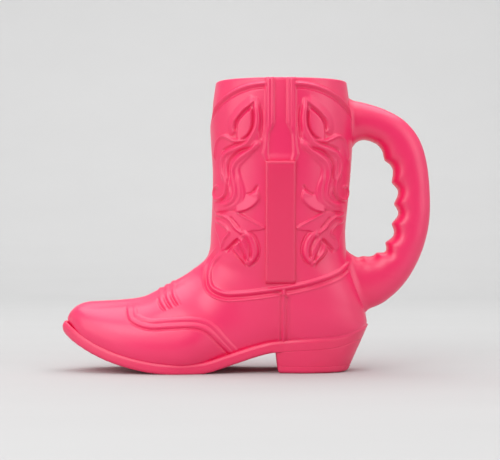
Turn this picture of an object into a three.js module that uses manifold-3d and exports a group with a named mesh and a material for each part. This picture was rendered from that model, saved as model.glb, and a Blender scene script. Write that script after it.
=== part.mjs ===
// A drinking mug in the form of a western boot, moulded in plastic.
// The boot upper is the cup: a hollow shell from the mouth to the toe, open below and closed by the outsole.
// The outsole carries a hollow heel block and a heel cap. A hollow handle of two half shells closes over two
// stubs on the back of the upper, and a bare name plate lies on each side of the shaft.
// Millimetres, +Z up. The toe points to -X, the handle to +X, and both sides of Y = 0 are alike.

import * as THREE from "three";
import { mergeVertices } from "three/addons/utils/BufferGeometryUtils.js";
import Module from "manifold-3d";

// Shaft, from the mouth down to the ankle
const RIM_HEIGHT = 176.4;
const MOUTH_LENGTH = 83.6;
const MOUTH_WIDTH = 75;
const BELLY_LENGTH = 87.6;
const BELLY_WIDTH = 76.6;
const ANKLE_HEIGHT = 84;
const ANKLE_LENGTH = 82.4;
const ANKLE_WIDTH = 69;
const SHAFT_X = 21.9;
const ANKLE_X = 20;

// Foot, from the ankle crease to the toe and back to the heel
const FOREFOOT_LENGTH = 88;
const TOE_BOX_HEIGHT = 43;
const TOE_HEIGHT = 31.5;
const BALL_WIDTH = 61;
const COUNTER_WIDTH = 60;
const COUNTER_REACH = 53.5;
const SQUARENESS = 2.3;

// Walls and fits
const WALL = 2.6;
const JOINT_GAP = 0.3;

// Outsole
const SOLE_THICKNESS = 6.8;
const BALL_CLEARANCE = 6.2;
const HEEL_SEAT_HEIGHT = 20.5;
const HEEL_CURL = 8.5;
const WELT_TOE = 3.4;
const WELT_HEEL = 1.2;
const RIB_HEIGHT = 3;
const RIB_THICKNESS = 2;

// Heel
const HEEL_BREAST_X = 16.3;
const HEEL_FOOT_LENGTH = 43;
const HEEL_FOOT_WIDTH = 46;
const HEEL_BREAST_RAKE = 3.4;
const HEEL_CAP_THICKNESS = 4.2;
const HEEL_WALL = 3;

// Handle
const HANDLE_DROP = 10.6;
const HANDLE_REACH = 48.6;
const HANDLE_FOOT_HEIGHT = 37.5;
const GRIP_WIDTH = 21;
const ROOT_FLARE = 0.16;
const HANDLE_WALL = 2.4;
const STUB_LENGTH = 7;
const RIPPLE_COUNT = 5;
const RIPPLE_DEPTH = 2.9;

// Raised work on the upper
const COLLAR_STEP = 1.7;
const COLLAR_DROP = 24;
const BEAD_WIDTH = 2.8;
const BEAD_HEIGHT = 0.9;
const STRAP_X = 20.8;
const STRAP_WIDTH = 18.4;
const STRAP_BAND_WIDTH = 4.4;
const STRAP_LENGTH = 33;
const STRAP_HEIGHT = 1.1;
const VAMP_BAND_WIDTH = 4.3;
const SIDE_RIB_X = 21.8;
const SIDE_RIB_WIDTH = 2.6;
const WRINKLE_COUNT = 3;
const WRINKLE_PITCH = 4.3;
const WRINKLE_WIDTH = 2.2;
const WRINKLE_STEP = 1.2;
const WRINKLE_DROP = 6;
const SCROLL_HEIGHT = 1.1;

// Name plates
const PLATE_WIDTH = 18.4;
const PLATE_LENGTH = 72;
const PLATE_DROP = 49.6;
const PLATE_PROUD = 1.1;
const PLATE_CHAMFER = 1.2;

// Fineness of the facets
const RING_POINTS = 28;
const ROWS_PER_SECTION = 2;
const CAVITY_RING_POINTS = 20;
const CAVITY_ROWS_PER_SECTION = 1;
const HANDLE_RING_POINTS = 14;
const HANDLE_STEPS = 52;
const BAND_STEPS = 11;
const RIB_STEPS = 3;
const WRINKLE_STEPS = 3;
const SOLE_STEPS = 40;
const OUTLINE_SPACING = 4.5;

const FAR = 300;
const wasm = await Module();
wasm.setup();

// Geometry to solid and back

function solid(geometry) {
  const bare = geometry.index ? geometry.toNonIndexed() : geometry.clone();
  bare.deleteAttribute("normal");
  bare.deleteAttribute("uv");
  const merged = mergeVertices(bare, 1e-4);
  return new wasm.Manifold(
    new wasm.Mesh({
      numProp: 3,
      vertProperties: merged.attributes.position.array,
      triVerts: new Uint32Array(merged.index.array),
    }),
  );
}

function geometryOf(made) {
  const mesh = made.getMesh();
  const geometry = new THREE.BufferGeometry();
  geometry.setAttribute("position", new THREE.BufferAttribute(new Float32Array(mesh.vertProperties), 3));
  geometry.setIndex(new THREE.BufferAttribute(new Uint32Array(mesh.triVerts), 1));
  geometry.computeVertexNormals();
  return geometry;
}

// A closed skin over rings of points that all have the same count, with a flat fan over each end.
function skin(rings) {
  const count = rings[0].length;
  const points = rings.flat();
  const faces = [];
  for (let i = 0; i + 1 < rings.length; i++) {
    for (let j = 0; j < count; j++) {
      const a = i * count + j;
      const b = i * count + ((j + 1) % count);
      faces.push(a, b, b + count, a, b + count, a + count);
    }
  }
  const last = (rings.length - 1) * count;
  const middle = (ring) => {
    const sum = new THREE.Vector3();
    ring.forEach((p) => sum.add(p));
    return sum.divideScalar(count);
  };
  const start = points.push(middle(rings[0])) - 1;
  const end = points.push(middle(rings.at(-1))) - 1;
  for (let j = 0; j < count; j++) {
    const next = (j + 1) % count;
    faces.push(start, next, j);
    faces.push(end, last + j, last + next);
  }
  const geometry = new THREE.BufferGeometry().setFromPoints(points);
  geometry.setIndex(faces);
  return solid(geometry);
}

// A side-view outline, in x and z, carried right through the object along Y.
function acrossY(outline, halfDepth = FAR) {
  const geometry = new THREE.ExtrudeGeometry(new THREE.Shape(outline), {
    depth: 2 * halfDepth,
    bevelEnabled: false,
  });
  geometry.translate(0, 0, -halfDepth);
  geometry.rotateX(Math.PI / 2);
  return solid(geometry);
}

// A plan outline, in x and y, carried up from one height to another.
function upright(outline, low, high) {
  const geometry = new THREE.ExtrudeGeometry(new THREE.Shape(outline), {
    depth: high - low,
    bevelEnabled: false,
  });
  geometry.translate(0, 0, low);
  return solid(geometry);
}

function block(x0, x1, y0, y1, z0, z1) {
  const geometry = new THREE.BoxGeometry(x1 - x0, y1 - y0, z1 - z0);
  geometry.translate((x0 + x1) / 2, (y0 + y1) / 2, (z0 + z1) / 2);
  return solid(geometry);
}

const point = (x, z) => new THREE.Vector2(x, z);
const mix = (a, b, share) => a + (b - a) * share;
const smooth = (low, high, value) => THREE.MathUtils.smoothstep(value, low, high);
const power = (value, exponent) => Math.sign(value) * Math.abs(value) ** exponent;

// A strip of even width along a smooth side-view line.
function strip(line, width, steps) {
  const curve = new THREE.SplineCurve(line);
  const left = [];
  const right = [];
  for (let i = 0; i <= steps; i++) {
    const at = curve.getPoint(i / steps);
    const along = curve.getTangent(i / steps);
    const aside = point(-along.y, along.x).multiplyScalar(width / 2);
    left.push(at.clone().add(aside));
    right.unshift(at.clone().sub(aside));
  }
  return [...left, ...right];
}

// Sole line: the joint between the upper and the outsole, seen from the side

const creaseX = ANKLE_X - ANKLE_LENGTH / 2;
const toeX = creaseX - FOREFOOT_LENGTH;
const heelX = ANKLE_X + COUNTER_REACH;
const ballX = mix(creaseX, toeX, 0.22);
const waistX = mix(ballX, HEEL_BREAST_X, 0.55);
const heelSeat = HEEL_SEAT_HEIGHT;
const soleLine = new THREE.SplineCurve([
  point(toeX - 14, TOE_HEIGHT + 10.5),
  point(toeX - 4, TOE_HEIGHT + 1.5),
  point(mix(toeX, ballX, 0.13), mix(BALL_CLEARANCE, TOE_HEIGHT, 0.69)),
  point(mix(toeX, ballX, 0.32), mix(BALL_CLEARANCE, TOE_HEIGHT, 0.41)),
  point(mix(toeX, ballX, 0.52), mix(BALL_CLEARANCE, TOE_HEIGHT, 0.21)),
  point(mix(toeX, ballX, 0.76), mix(BALL_CLEARANCE, TOE_HEIGHT, 0.06)),
  point(ballX, BALL_CLEARANCE),
  point(mix(ballX, HEEL_BREAST_X, 0.27), mix(BALL_CLEARANCE, heelSeat, 0.06)),
  point(waistX, mix(BALL_CLEARANCE, heelSeat, 0.4)),
  point(mix(ballX, HEEL_BREAST_X, 0.84), mix(BALL_CLEARANCE, heelSeat, 0.77)),
  point(mix(HEEL_BREAST_X, heelX, 0.08), heelSeat - 0.6),
  point(mix(HEEL_BREAST_X, heelX, 0.56), heelSeat + 0.9),
  point(mix(HEEL_BREAST_X, heelX, 0.76), mix(heelSeat, heelSeat + HEEL_CURL, 0.27)),
  point(mix(HEEL_BREAST_X, heelX, 0.9), mix(heelSeat, heelSeat + HEEL_CURL, 0.6)),
  point(heelX + 1, heelSeat + HEEL_CURL),
  point(heelX + 9, heelSeat + HEEL_CURL + 8),
]);
const solePoints = soleLine.getPoints(SOLE_STEPS);

function soleHeight(x) {
  const at = solePoints.findIndex((p) => p.x >= x);
  const a = solePoints[Math.max(at - 1, 0)];
  const b = solePoints[Math.max(at, 1)];
  return mix(a.y, b.y, (x - a.x) / (b.x - a.x));
}

// Everything between the sole line, lowered by one distance, and the same line lowered by another.
function soleLayer(top, bottom) {
  const lowered = (distance) =>
    solePoints.map((p, i) => {
      const before = solePoints[Math.max(i - 1, 0)];
      const after = solePoints[Math.min(i + 1, solePoints.length - 1)];
      const along = after.clone().sub(before).normalize();
      return point(p.x + along.y * distance, p.y - along.x * distance);
    });
  return acrossY([...lowered(top), ...lowered(bottom).reverse()]);
}

function belowSoleLine(lift) {
  const edge = solePoints.map((p) => point(p.x, p.y + lift));
  return acrossY([point(edge[0].x, -FAR), ...edge, point(edge.at(-1).x, -FAR)].reverse());
}

// The last: the boot's form as sections from above the mouth to the toe.
// Each section runs from a point on the front line to a point on the back or sole line, and is a rounded oval
// across.

const shaftSection = (height, length, width, centre) => ({
  front: point(centre - length / 2, height),
  back: point(centre + length / 2, height),
  half: width / 2,
});
const shaftHeight = (share) => mix(ANKLE_HEIGHT, RIM_HEIGHT, share);
const instepTop = ANKLE_HEIGHT - 9;

// A section through the heel: where it starts on the instep, where it ends on the back, and its width.
const heelSection = (forward, rise, back, width) => ({
  front: point(mix(creaseX, toeX, forward), mix(TOE_BOX_HEIGHT, instepTop, rise)),
  back,
  half: width / 2,
});

// A section of the foot ends below the sole line, at a depth under one place on it.
function footSection(forward, rise, soleX, depth, width) {
  return heelSection(forward, rise, point(soleX, soleHeight(soleX) - depth), width);
}
const alongHeel = (share) => mix(heelX, HEEL_BREAST_X, share);
const alongArch = (share) => mix(HEEL_BREAST_X, ballX, share);
const alongToe = (share) => mix(ballX, toeX, share);
const upHeel = (share) => mix(heelSeat, ANKLE_HEIGHT, share);
const shaftLength = (share) => mix(ANKLE_LENGTH, BELLY_LENGTH, share);
const shaftWidth = (share) => mix(ANKLE_WIDTH, BELLY_WIDTH, share);
const counterX = (share) => mix(ANKLE_X, heelX, share);
const counterWidth = (share) => mix(COUNTER_WIDTH, ANKLE_WIDTH, share);
const archWidth = COUNTER_WIDTH - 9;

const sections = [
  shaftSection(RIM_HEIGHT + 16, MOUTH_LENGTH - 3.5, MOUTH_WIDTH - 2.5, SHAFT_X),
  shaftSection(RIM_HEIGHT, MOUTH_LENGTH, MOUTH_WIDTH, SHAFT_X),
  shaftSection(shaftHeight(0.82), BELLY_LENGTH, BELLY_WIDTH, SHAFT_X),
  shaftSection(shaftHeight(0.6), BELLY_LENGTH - 0.9, BELLY_WIDTH - 0.2, SHAFT_X + 0.3),
  shaftSection(shaftHeight(0.4), shaftLength(0.4), shaftWidth(0.82), SHAFT_X + 0.3),
  shaftSection(shaftHeight(0.19), shaftLength(0.12), shaftWidth(0.48), mix(ANKLE_X, SHAFT_X, 0.6)),
  shaftSection(ANKLE_HEIGHT, ANKLE_LENGTH, ANKLE_WIDTH, ANKLE_X),
  heelSection(0.005, 1.03, point(counterX(0.8), upHeel(0.75)), counterWidth(0.64)),
  heelSection(0.022, 0.86, point(counterX(0.917), upHeel(0.49)), counterWidth(0.33)),
  heelSection(0.046, 0.765, point(heelX, upHeel(0.25)), COUNTER_WIDTH),
  footSection(0.084, 0.672, heelX, HEEL_CURL + 0.5, COUNTER_WIDTH - 2),
  footSection(0.12, 0.603, alongHeel(0.28), 15.5, COUNTER_WIDTH - 6),
  footSection(0.155, 0.531, alongHeel(0.8), 12.5, archWidth),
  footSection(0.2, 0.453, alongArch(0.2), 14.2, mix(archWidth, BALL_WIDTH, 0.2)),
  footSection(0.267, 0.353, alongArch(0.62), 12.2, BALL_WIDTH - 1),
  footSection(0.358, 0.219, alongArch(0.97), 12.8, BALL_WIDTH),
  footSection(0.472, 0.07, alongToe(0.23), 11.8, BALL_WIDTH * 0.95),
  footSection(0.608, 0.014, alongToe(0.45), 10.6, BALL_WIDTH * 0.855),
  footSection(0.744, -0.01, alongToe(0.635), 8.3, BALL_WIDTH * 0.715),
  footSection(0.857, -0.03, alongToe(0.795), 5.8, BALL_WIDTH * 0.545),
  footSection(0.93, -0.1, alongToe(0.902), 4, BALL_WIDTH * 0.38),
  footSection(0.976, -0.21, alongToe(0.965), 1.6, BALL_WIDTH * 0.215),
  footSection(0.999, -0.315, alongToe(0.999), 0.8, BALL_WIDTH * 0.07),
];
const frontLine = new THREE.SplineCurve(sections.map((s) => s.front));
const backLine = new THREE.SplineCurve(sections.map((s) => s.back));
const widthLine = new THREE.SplineCurve(sections.map((s, i) => point(i, s.half)));
const LAST_SPAN = sections.length - 1;

// A point of the boot's outer form: t from 0, above the mouth, to 1, the toe, and an angle round the section
// from the front.
function formPoint(t, angle) {
  const front = frontLine.getPoint(t);
  const back = backLine.getPoint(t);
  const lengthwise = (1 - power(Math.cos(angle), 2 / SQUARENESS)) / 2;
  const sideways = widthLine.getPoint(t).y * power(Math.sin(angle), 2 / SQUARENESS);
  return new THREE.Vector3(mix(front.x, back.x, lengthwise), sideways, mix(front.y, back.y, lengthwise));
}

function formNormal(t, angle) {
  const step = 0.004;
  const low = Math.max(t - step, 0);
  const high = Math.min(t + step, 1);
  const down = formPoint(high, angle).sub(formPoint(low, angle));
  const round = formPoint(t, angle + step).sub(formPoint(t, angle - step));
  return round.cross(down).normalize();
}

// The form as a solid, grown outwards by a distance that may change with height.
function form(grow, ringPoints = RING_POINTS, rowsPerSection = ROWS_PER_SECTION, lastSection = LAST_SPAN) {
  const distance = typeof grow === "function" ? grow : () => grow;
  const rows = lastSection * rowsPerSection;
  const rings = [];
  for (let i = 0; i <= rows; i++) {
    const t = i / rowsPerSection / LAST_SPAN;
    const ring = [];
    for (let j = 0; j < ringPoints; j++) {
      const angle = (2 * Math.PI * j) / ringPoints;
      const at = formPoint(t, angle);
      ring.push(at.addScaledVector(formNormal(t, angle), distance(at.z)));
    }
    rings.push(ring);
  }
  return skin(rings);
}

// Half the form's width at a height on the shaft, over its middle.
function shaftHalfWidth(height) {
  let low = 0;
  let high = 0.6;
  for (let i = 0; i < 40; i++) {
    const middle = (low + high) / 2;
    if (formPoint(middle, Math.PI / 2).z > height) {
      low = middle;
    } else {
      high = middle;
    }
  }
  return formPoint(low, Math.PI / 2).y;
}

// Raised work on the upper: side-view outlines cut out of a grown copy of the form

const strapHalf = STRAP_WIDTH / 2;
const frontX = SHAFT_X - BELLY_LENGTH / 2;
const backX = SHAFT_X + BELLY_LENGTH / 2;
const collarTop = RIM_HEIGHT - 3.2;

// The collar's edge falls in a quarter ellipse from the strap to the front, or to the back, of the shaft.
function collarEdge(endX) {
  const startX = STRAP_X + Math.sign(endX - STRAP_X) * strapHalf;
  const edge = [];
  for (let i = 0; i <= 8; i++) {
    const turn = (Math.PI / 2) * (i / 8);
    const fall = COLLAR_DROP * (1 - Math.cos(turn));
    edge.push(point(mix(startX, endX, Math.sin(turn)), collarTop - fall));
  }
  return edge;
}

function aboveCollar(endX, lift) {
  const edge = collarEdge(endX).map((p) => point(p.x, p.y + lift));
  const outside = endX + Math.sign(endX - STRAP_X) * FAR;
  const outline = [...edge, point(outside, edge.at(-1).y), point(outside, FAR), point(edge[0].x, FAR)];
  return acrossY(endX > STRAP_X ? outline : outline.reverse());
}

const upAnkle = (share) => mix(TOE_BOX_HEIGHT, ANKLE_HEIGHT, share);
const toCrease = (share) => mix(STRAP_X, creaseX, share);
const toBack = (share) => mix(STRAP_X, backX, share);
const ankleMiddle = point(STRAP_X, upAnkle(0.25));
const ankleLineFront = [
  point(toCrease(0.81), upAnkle(0.756)),
  point(toCrease(0.954), upAnkle(0.585)),
  point(toCrease(1.007), upAnkle(0.427)),
  point(toCrease(0.958), upAnkle(0.256)),
  point(toCrease(0.791), upAnkle(0.171)),
  point(toCrease(0.582), upAnkle(0.173)),
  point(toCrease(0.304), upAnkle(0.205)),
  ankleMiddle,
];
const ankleLineBack = [
  ankleMiddle,
  point(toBack(0.25), upAnkle(0.295)),
  point(toBack(0.525), upAnkle(0.376)),
  point(toBack(0.776), upAnkle(0.488)),
  point(toBack(0.936), upAnkle(0.622)),
];
const vampLine = [
  point(alongToe(0.42), TOE_BOX_HEIGHT + 4),
  point(alongToe(0.405), TOE_BOX_HEIGHT - 4),
  point(alongToe(0.37), TOE_BOX_HEIGHT - 9.5),
  point(alongToe(0.25), TOE_BOX_HEIGHT - 13.2),
  point(alongToe(0.07), TOE_BOX_HEIGHT - 13),
  point(alongArch(0.88), TOE_BOX_HEIGHT - 12.2),
  point(alongArch(0.74), TOE_BOX_HEIGHT - 12.8),
  point(alongArch(0.64), TOE_BOX_HEIGHT - 16),
  point(alongArch(0.54), TOE_BOX_HEIGHT - 22),
  point(alongArch(0.42), TOE_BOX_HEIGHT - 30),
];
const sideRibLine = [
  point(SIDE_RIB_X, ankleMiddle.y),
  point(SIDE_RIB_X, upHeel(0.25)),
  point(SIDE_RIB_X, heelSeat - SOLE_THICKNESS / 2),
];

// The strap is two upright bands with a bare channel between them.
function strapBand(side) {
  const x = STRAP_X + side * (strapHalf - STRAP_BAND_WIDTH / 2);
  return [point(x, RIM_HEIGHT + 5), point(x, RIM_HEIGHT - STRAP_LENGTH)];
}

function wrinkleLine(index) {
  const place = index - (WRINKLE_COUNT - 1) / 2;
  const x = mix(creaseX, toeX, 0.275) + place * WRINKLE_PITCH;
  const z = mix(TOE_BOX_HEIGHT, instepTop, 0.13) + place * WRINKLE_STEP;
  return [
    point(x - 0.4 * WRINKLE_DROP, z + WRINKLE_DROP),
    point(x, z),
    point(x + 0.53 * WRINKLE_DROP, z - WRINKLE_DROP),
  ];
}

// A scroll of flat leaves and ribbons on the shaft, alike before and behind the strap on both sides.
// Each point is a share of the way from the strap to the shaft's front or back, and of the way up from the
// ankle to the rim.
const flame = [[0.28, 0.71], [0.31, 0.87], [0.56, 0.78], [0.63, 0.69], [0.58, 0.62], [0.85, 0.61]];
const ribbon = [[0.92, 0.5], [0.93, 0.3], [0.9, 0.17], [0.57, 0.15], [0.27, 0.21], [0.27, 0.27]];
const stem = [[0.47, 0.26], [0.53, 0.42], [0.32, 0.52], [0.25, 0.6]];
const arrow = [[0.86, 0.12], [0.57, 0.14], [0.25, 0.05], [0.25, 0.03], [0.4, 0.01]];
const bud = [[0.27, -0.1], [0.36, -0.18], [0.49, -0.18], [0.58, -0.09], [0.51, -0.01], [0.7, 0.07]];
const scrollLeaves = [[...flame, ...ribbon, ...stem], [...arrow, ...bud]];

function scroll(endX) {
  const place = ([out, up]) => point(mix(STRAP_X, endX, out), shaftHeight(up));
  const leaves = scrollLeaves.map((shares) => acrossY(shares.map(place)));
  return leaves.reduce((all, leaf) => all.add(leaf));
}

// The upper's outside with all its raised work. An allowance makes the cutter that seats other pieces on it.
function upperOutside(allowance) {
  const lowered = form(allowance - COLLAR_STEP);
  const bead = form(allowance + BEAD_HEIGHT);
  const carved = form(allowance + SCROLL_HEIGHT);
  const strap = form(allowance + STRAP_HEIGHT);
  let body = form(allowance);
  const raise = (line, width, steps, height) => {
    body = body.add(acrossY(strip(line, width + 2 * allowance, steps)).intersect(height));
  };
  for (const endX of [frontX, backX]) {
    body = body.subtract(aboveCollar(endX, allowance).subtract(lowered));
  }
  for (const endX of [frontX, backX]) {
    body = body.add(scroll(endX).intersect(carved));
  }
  for (const side of [-1, 1]) {
    raise(strapBand(side), STRAP_BAND_WIDTH, 1, strap);
  }
  for (const endX of [frontX, backX]) {
    raise(collarEdge(endX), BEAD_WIDTH, BAND_STEPS, bead);
  }
  for (const line of [ankleLineFront, ankleLineBack]) {
    raise(line, BEAD_WIDTH, BAND_STEPS, bead);
  }
  raise(vampLine, VAMP_BAND_WIDTH, BAND_STEPS, bead);
  raise(sideRibLine, SIDE_RIB_WIDTH, RIB_STEPS, bead);
  for (let i = 0; i < WRINKLE_COUNT; i++) {
    raise(wrinkleLine(i), WRINKLE_WIDTH, WRINKLE_STEPS, bead);
  }
  return body;
}

// The cavity is set in by the wall, and by the collar's step as well where the collar thins the rim.
const CAVITY_LAST_SECTION = LAST_SPAN - 3;
function cavity(inset) {
  const stepEnd = RIM_HEIGHT - COLLAR_DROP;
  const stepStart = stepEnd - 18;
  const setIn = (z) => -inset - COLLAR_STEP * smooth(stepStart, stepEnd, z);
  return form(setIn, CAVITY_RING_POINTS, CAVITY_ROWS_PER_SECTION, CAVITY_LAST_SECTION);
}

// Handle: sections from the inner line to the outer line, rippled for the fingers

const handleTop = RIM_HEIGHT - HANDLE_DROP;
const rootX = backX - 1;
function handlePoint(reach, rise) {
  return point(rootX + reach * HANDLE_REACH, mix(HANDLE_FOOT_HEIGHT, handleTop, rise));
}
const gripInner = new THREE.SplineCurve([
  handlePoint(-0.16, 0.68),
  handlePoint(0.012, 0.755),
  handlePoint(0.147, 0.806),
  handlePoint(0.3, 0.796),
  handlePoint(0.39, 0.764),
  handlePoint(0.43, 0.713),
  handlePoint(0.522, 0.606),
  handlePoint(0.55, 0.504),
  handlePoint(0.522, 0.41),
  handlePoint(0.442, 0.32),
  handlePoint(0.331, 0.271),
  handlePoint(0.157, 0.255),
  handlePoint(0.0, 0.266),
  handlePoint(-0.2, 0.32),
]);
const gripOuter = new THREE.SplineCurve([
  handlePoint(-0.2, 1.015),
  handlePoint(0.0, 1.0),
  handlePoint(0.2, 0.984),
  handlePoint(0.444, 0.953),
  handlePoint(0.679, 0.901),
  handlePoint(0.859, 0.817),
  handlePoint(0.959, 0.7),
  handlePoint(1.0, 0.535),
  handlePoint(0.98, 0.392),
  handlePoint(0.875, 0.254),
  handlePoint(0.688, 0.129),
  handlePoint(0.435, 0.038),
  handlePoint(0.19, -0.005),
  handlePoint(-0.1, -0.05),
]);
const RIPPLE_START = 5 / 13;
const RIPPLE_END = 10 / 13;

// Shallow round hollows with narrow ridges between them, along the part of the grip that fingers close on.
function ripple(t) {
  const along = (t - RIPPLE_START) / (RIPPLE_END - RIPPLE_START);
  if (along <= 0 || along >= 1) {
    return 0;
  }
  return RIPPLE_DEPTH * Math.sin(Math.PI * RIPPLE_COUNT * along) ** 2;
}

function handleForm(inset, steps) {
  const rings = [];
  for (let i = 0; i <= steps; i++) {
    const t = i / steps;
    const inner = gripInner.getPoint(t);
    const outer = gripOuter.getPoint(t);
    const centre = inner.clone().add(outer).divideScalar(2);
    const across = outer.clone().sub(inner).normalize();
    const reach = outer.distanceTo(inner) / 2 - inset;
    const half = (GRIP_WIDTH / 2) * (1 + ROOT_FLARE * (2 * t - 1) ** 4) - inset;
    const ring = [];
    for (let j = 0; j < HANDLE_RING_POINTS; j++) {
      const angle = (2 * Math.PI * j) / HANDLE_RING_POINTS;
      const lengthwise = power(Math.cos(angle), 2 / SQUARENESS);
      const hollow = ripple(t) * ((1 - lengthwise) / 2) ** 3;
      const along = reach * lengthwise + hollow;
      const aside = -half * power(Math.sin(angle), 2 / SQUARENESS);
      ring.push(new THREE.Vector3(centre.x + across.x * along, aside, centre.y + across.y * along));
    }
    rings.push(ring);
  }
  return skin(rings);
}

// Boot upper

const outsideOfUpper = upperOutside(0);
const seatCutter = upperOutside(JOINT_GAP);

function bootUpper() {
  const stubs = handleForm(HANDLE_WALL + JOINT_GAP, HANDLE_STEPS / 2).intersect(form(STUB_LENGTH));
  return outsideOfUpper
    .add(stubs)
    .subtract(cavity(WALL))
    .subtract(belowSoleLine(JOINT_GAP))
    .subtract(block(-FAR, FAR, -FAR, FAR, RIM_HEIGHT, FAR));
}

// Outsole: a layer under the sole line, cut to the upper's own outline and a welt beyond it

// Where the upper's form meets the sole line, on one side, from the heel to the toe.
function featherEdge() {
  const edge = [];
  const rows = LAST_SPAN * 16;
  const turns = 96;
  for (let i = 0; i <= rows; i++) {
    for (let j = turns / 4; j < turns / 2; j++) {
      const a = formPoint(i / rows, (2 * Math.PI * j) / turns);
      const b = formPoint(i / rows, (2 * Math.PI * (j + 1)) / turns);
      const over = a.z - soleHeight(a.x);
      const under = b.z - soleHeight(b.x);
      if (over > 0 && under <= 0) {
        edge.push(a.lerp(b, over / (over - under)));
        break;
      }
    }
  }
  edge.sort((a, b) => b.x - a.x);
  const kept = [edge[0]];
  for (const p of edge) {
    if (p.distanceTo(kept.at(-1)) > OUTLINE_SPACING) {
      kept.push(p);
    }
  }
  kept[kept.length - 1] = edge.at(-1);
  return kept;
}
const feather = featherEdge();

function soleOutline() {
  const toe = feather.at(-1);
  const heel = feather[0];
  const side = feather.map((p, i) => {
    const before = feather[Math.max(i - 1, 0)];
    const after = feather[Math.min(i + 1, feather.length - 1)];
    const along = after.clone().sub(before).setZ(0).normalize();
    const welt = mix(WELT_TOE, WELT_HEEL, (p.x - toe.x) / (heel.x - toe.x));
    return new THREE.Vector2(p.x + along.y * welt, p.y - along.x * welt);
  });
  const far = [...side].reverse().map((p) => new THREE.Vector2(p.x, -p.y));
  return [
    new THREE.Vector2(heel.x + WELT_HEEL, 0),
    ...side,
    new THREE.Vector2(toe.x - WELT_TOE, 0),
    ...far,
  ];
}
const outline = soleOutline();

function outsole() {
  const overHeel = block(HEEL_BREAST_X + HEEL_BREAST_RAKE, FAR, -FAR, FAR, -FAR, FAR);
  const straight = upright(outline, -FAR / 2, FAR / 2).subtract(overHeel);
  const tapered = heelSlice(0, heelTop + SOLE_THICKNESS, 0).intersect(overHeel);
  const plate = soleLayer(0, SOLE_THICKNESS).intersect(straight.add(tapered));
  const rib = cavity(WALL + JOINT_GAP)
    .subtract(cavity(WALL + JOINT_GAP + RIB_THICKNESS))
    .intersect(soleLayer(-RIB_HEIGHT, SOLE_THICKNESS / 2));
  return plate.add(rib).subtract(block(-FAR, FAR, -FAR, FAR, -FAR, 0));
}

// Heel: the outsole's own outline behind the breast, drawn in towards the floor

const heelEnd = outline[0].x;
const heelOutline = outline.filter((p) => p.x > HEEL_BREAST_X);
const heelTopWidth = 2 * Math.max(...heelOutline.map((p) => p.y));
const heelTop = heelSeat + HEEL_CURL;

function heelRing(height, inset) {
  const share = height / heelTop;
  const front = HEEL_BREAST_X + mix(HEEL_BREAST_RAKE, 0, share) + inset;
  const length = mix(HEEL_FOOT_LENGTH, heelEnd - HEEL_BREAST_X, share) - 2 * inset;
  const narrowing = (mix(HEEL_FOOT_WIDTH, heelTopWidth, share) - 2 * inset) / heelTopWidth;
  const place = (p) => {
    const x = front + ((p.x - HEEL_BREAST_X) / (heelEnd - HEEL_BREAST_X)) * length;
    return new THREE.Vector3(x, p.y * narrowing, height);
  };
  const breast = heelOutline.find((p, i) => heelOutline[i + 1] && heelOutline[i + 1].y < 0 && p.y > 0);
  const corners = [new THREE.Vector2(HEEL_BREAST_X, breast.y), new THREE.Vector2(HEEL_BREAST_X, -breast.y)];
  const start = heelOutline.indexOf(breast) + 1;
  return [...heelOutline.slice(0, start), ...corners, ...heelOutline.slice(start)].map(place);
}

function heelSlice(low, high, inset) {
  return skin([heelRing(low, inset), heelRing(high, inset)]);
}

function heelBlock() {
  const floor = HEEL_CAP_THICKNESS + JOINT_GAP;
  const hollow = heelSlice(floor + HEEL_WALL, heelTop + SOLE_THICKNESS, HEEL_WALL);
  return heelSlice(floor, heelTop, 0)
    .subtract(hollow)
    .subtract(soleLayer(-FAR / 4, SOLE_THICKNESS + JOINT_GAP));
}

const heelCap = () => heelSlice(0, HEEL_CAP_THICKNESS, 0);

// Handle halves

function handleHalf(side) {
  const tube = handleForm(0, HANDLE_STEPS).subtract(handleForm(HANDLE_WALL, HANDLE_STEPS / 2));
  const seam = JOINT_GAP / 2;
  const nearSide = block(-FAR, FAR, -FAR, -seam, -FAR, FAR);
  const farSide = block(-FAR, FAR, seam, FAR, -FAR, FAR);
  return tube.subtract(seatCutter).intersect(side < 0 ? nearSide : farSide);
}

// Name plates: flat strips that lean with the shaft, with their backs shaped to it.
// Each face stands clear of the shaft where the shaft bulges most between the plate's two ends.

function namePlate(side) {
  const top = RIM_HEIGHT - PLATE_DROP;
  const bottom = top - PLATE_LENGTH;
  const topHalf = shaftHalfWidth(top);
  const bottomHalf = shaftHalfWidth(bottom);
  let bulge = 0;
  for (let i = 1; i < BAND_STEPS; i++) {
    const share = i / BAND_STEPS;
    const chord = mix(bottomHalf, topHalf, share);
    bulge = Math.max(bulge, shaftHalfWidth(mix(bottom, top, share)) - chord);
  }
  const faceY = (topHalf + bottomHalf) / 2 + bulge + PLATE_PROUD;
  const lean = Math.atan2(topHalf - bottomHalf, PLATE_LENGTH);
  const halfWidth = PLATE_WIDTH / 2 - PLATE_CHAMFER;
  const halfLength = PLATE_LENGTH / 2 - PLATE_CHAMFER;
  const face = new THREE.Shape([
    new THREE.Vector2(-halfWidth, -halfLength),
    new THREE.Vector2(halfWidth, -halfLength),
    new THREE.Vector2(halfWidth, halfLength),
    new THREE.Vector2(-halfWidth, halfLength),
  ]);
  const depth = MOUTH_WIDTH / 4;
  const geometry = new THREE.ExtrudeGeometry(face, {
    depth,
    bevelEnabled: true,
    bevelThickness: PLATE_CHAMFER,
    bevelSize: PLATE_CHAMFER,
    bevelSegments: 1,
  });
  geometry.translate(0, 0, -depth - PLATE_CHAMFER);
  geometry.rotateX(Math.PI / 2 + lean);
  geometry.translate(STRAP_X, -faceY, (top + bottom) / 2);
  if (side > 0) {
    geometry.rotateZ(Math.PI).translate(2 * STRAP_X, 0, 0);
  }
  return solid(geometry).subtract(seatCutter);
}

// Assembly

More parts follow.
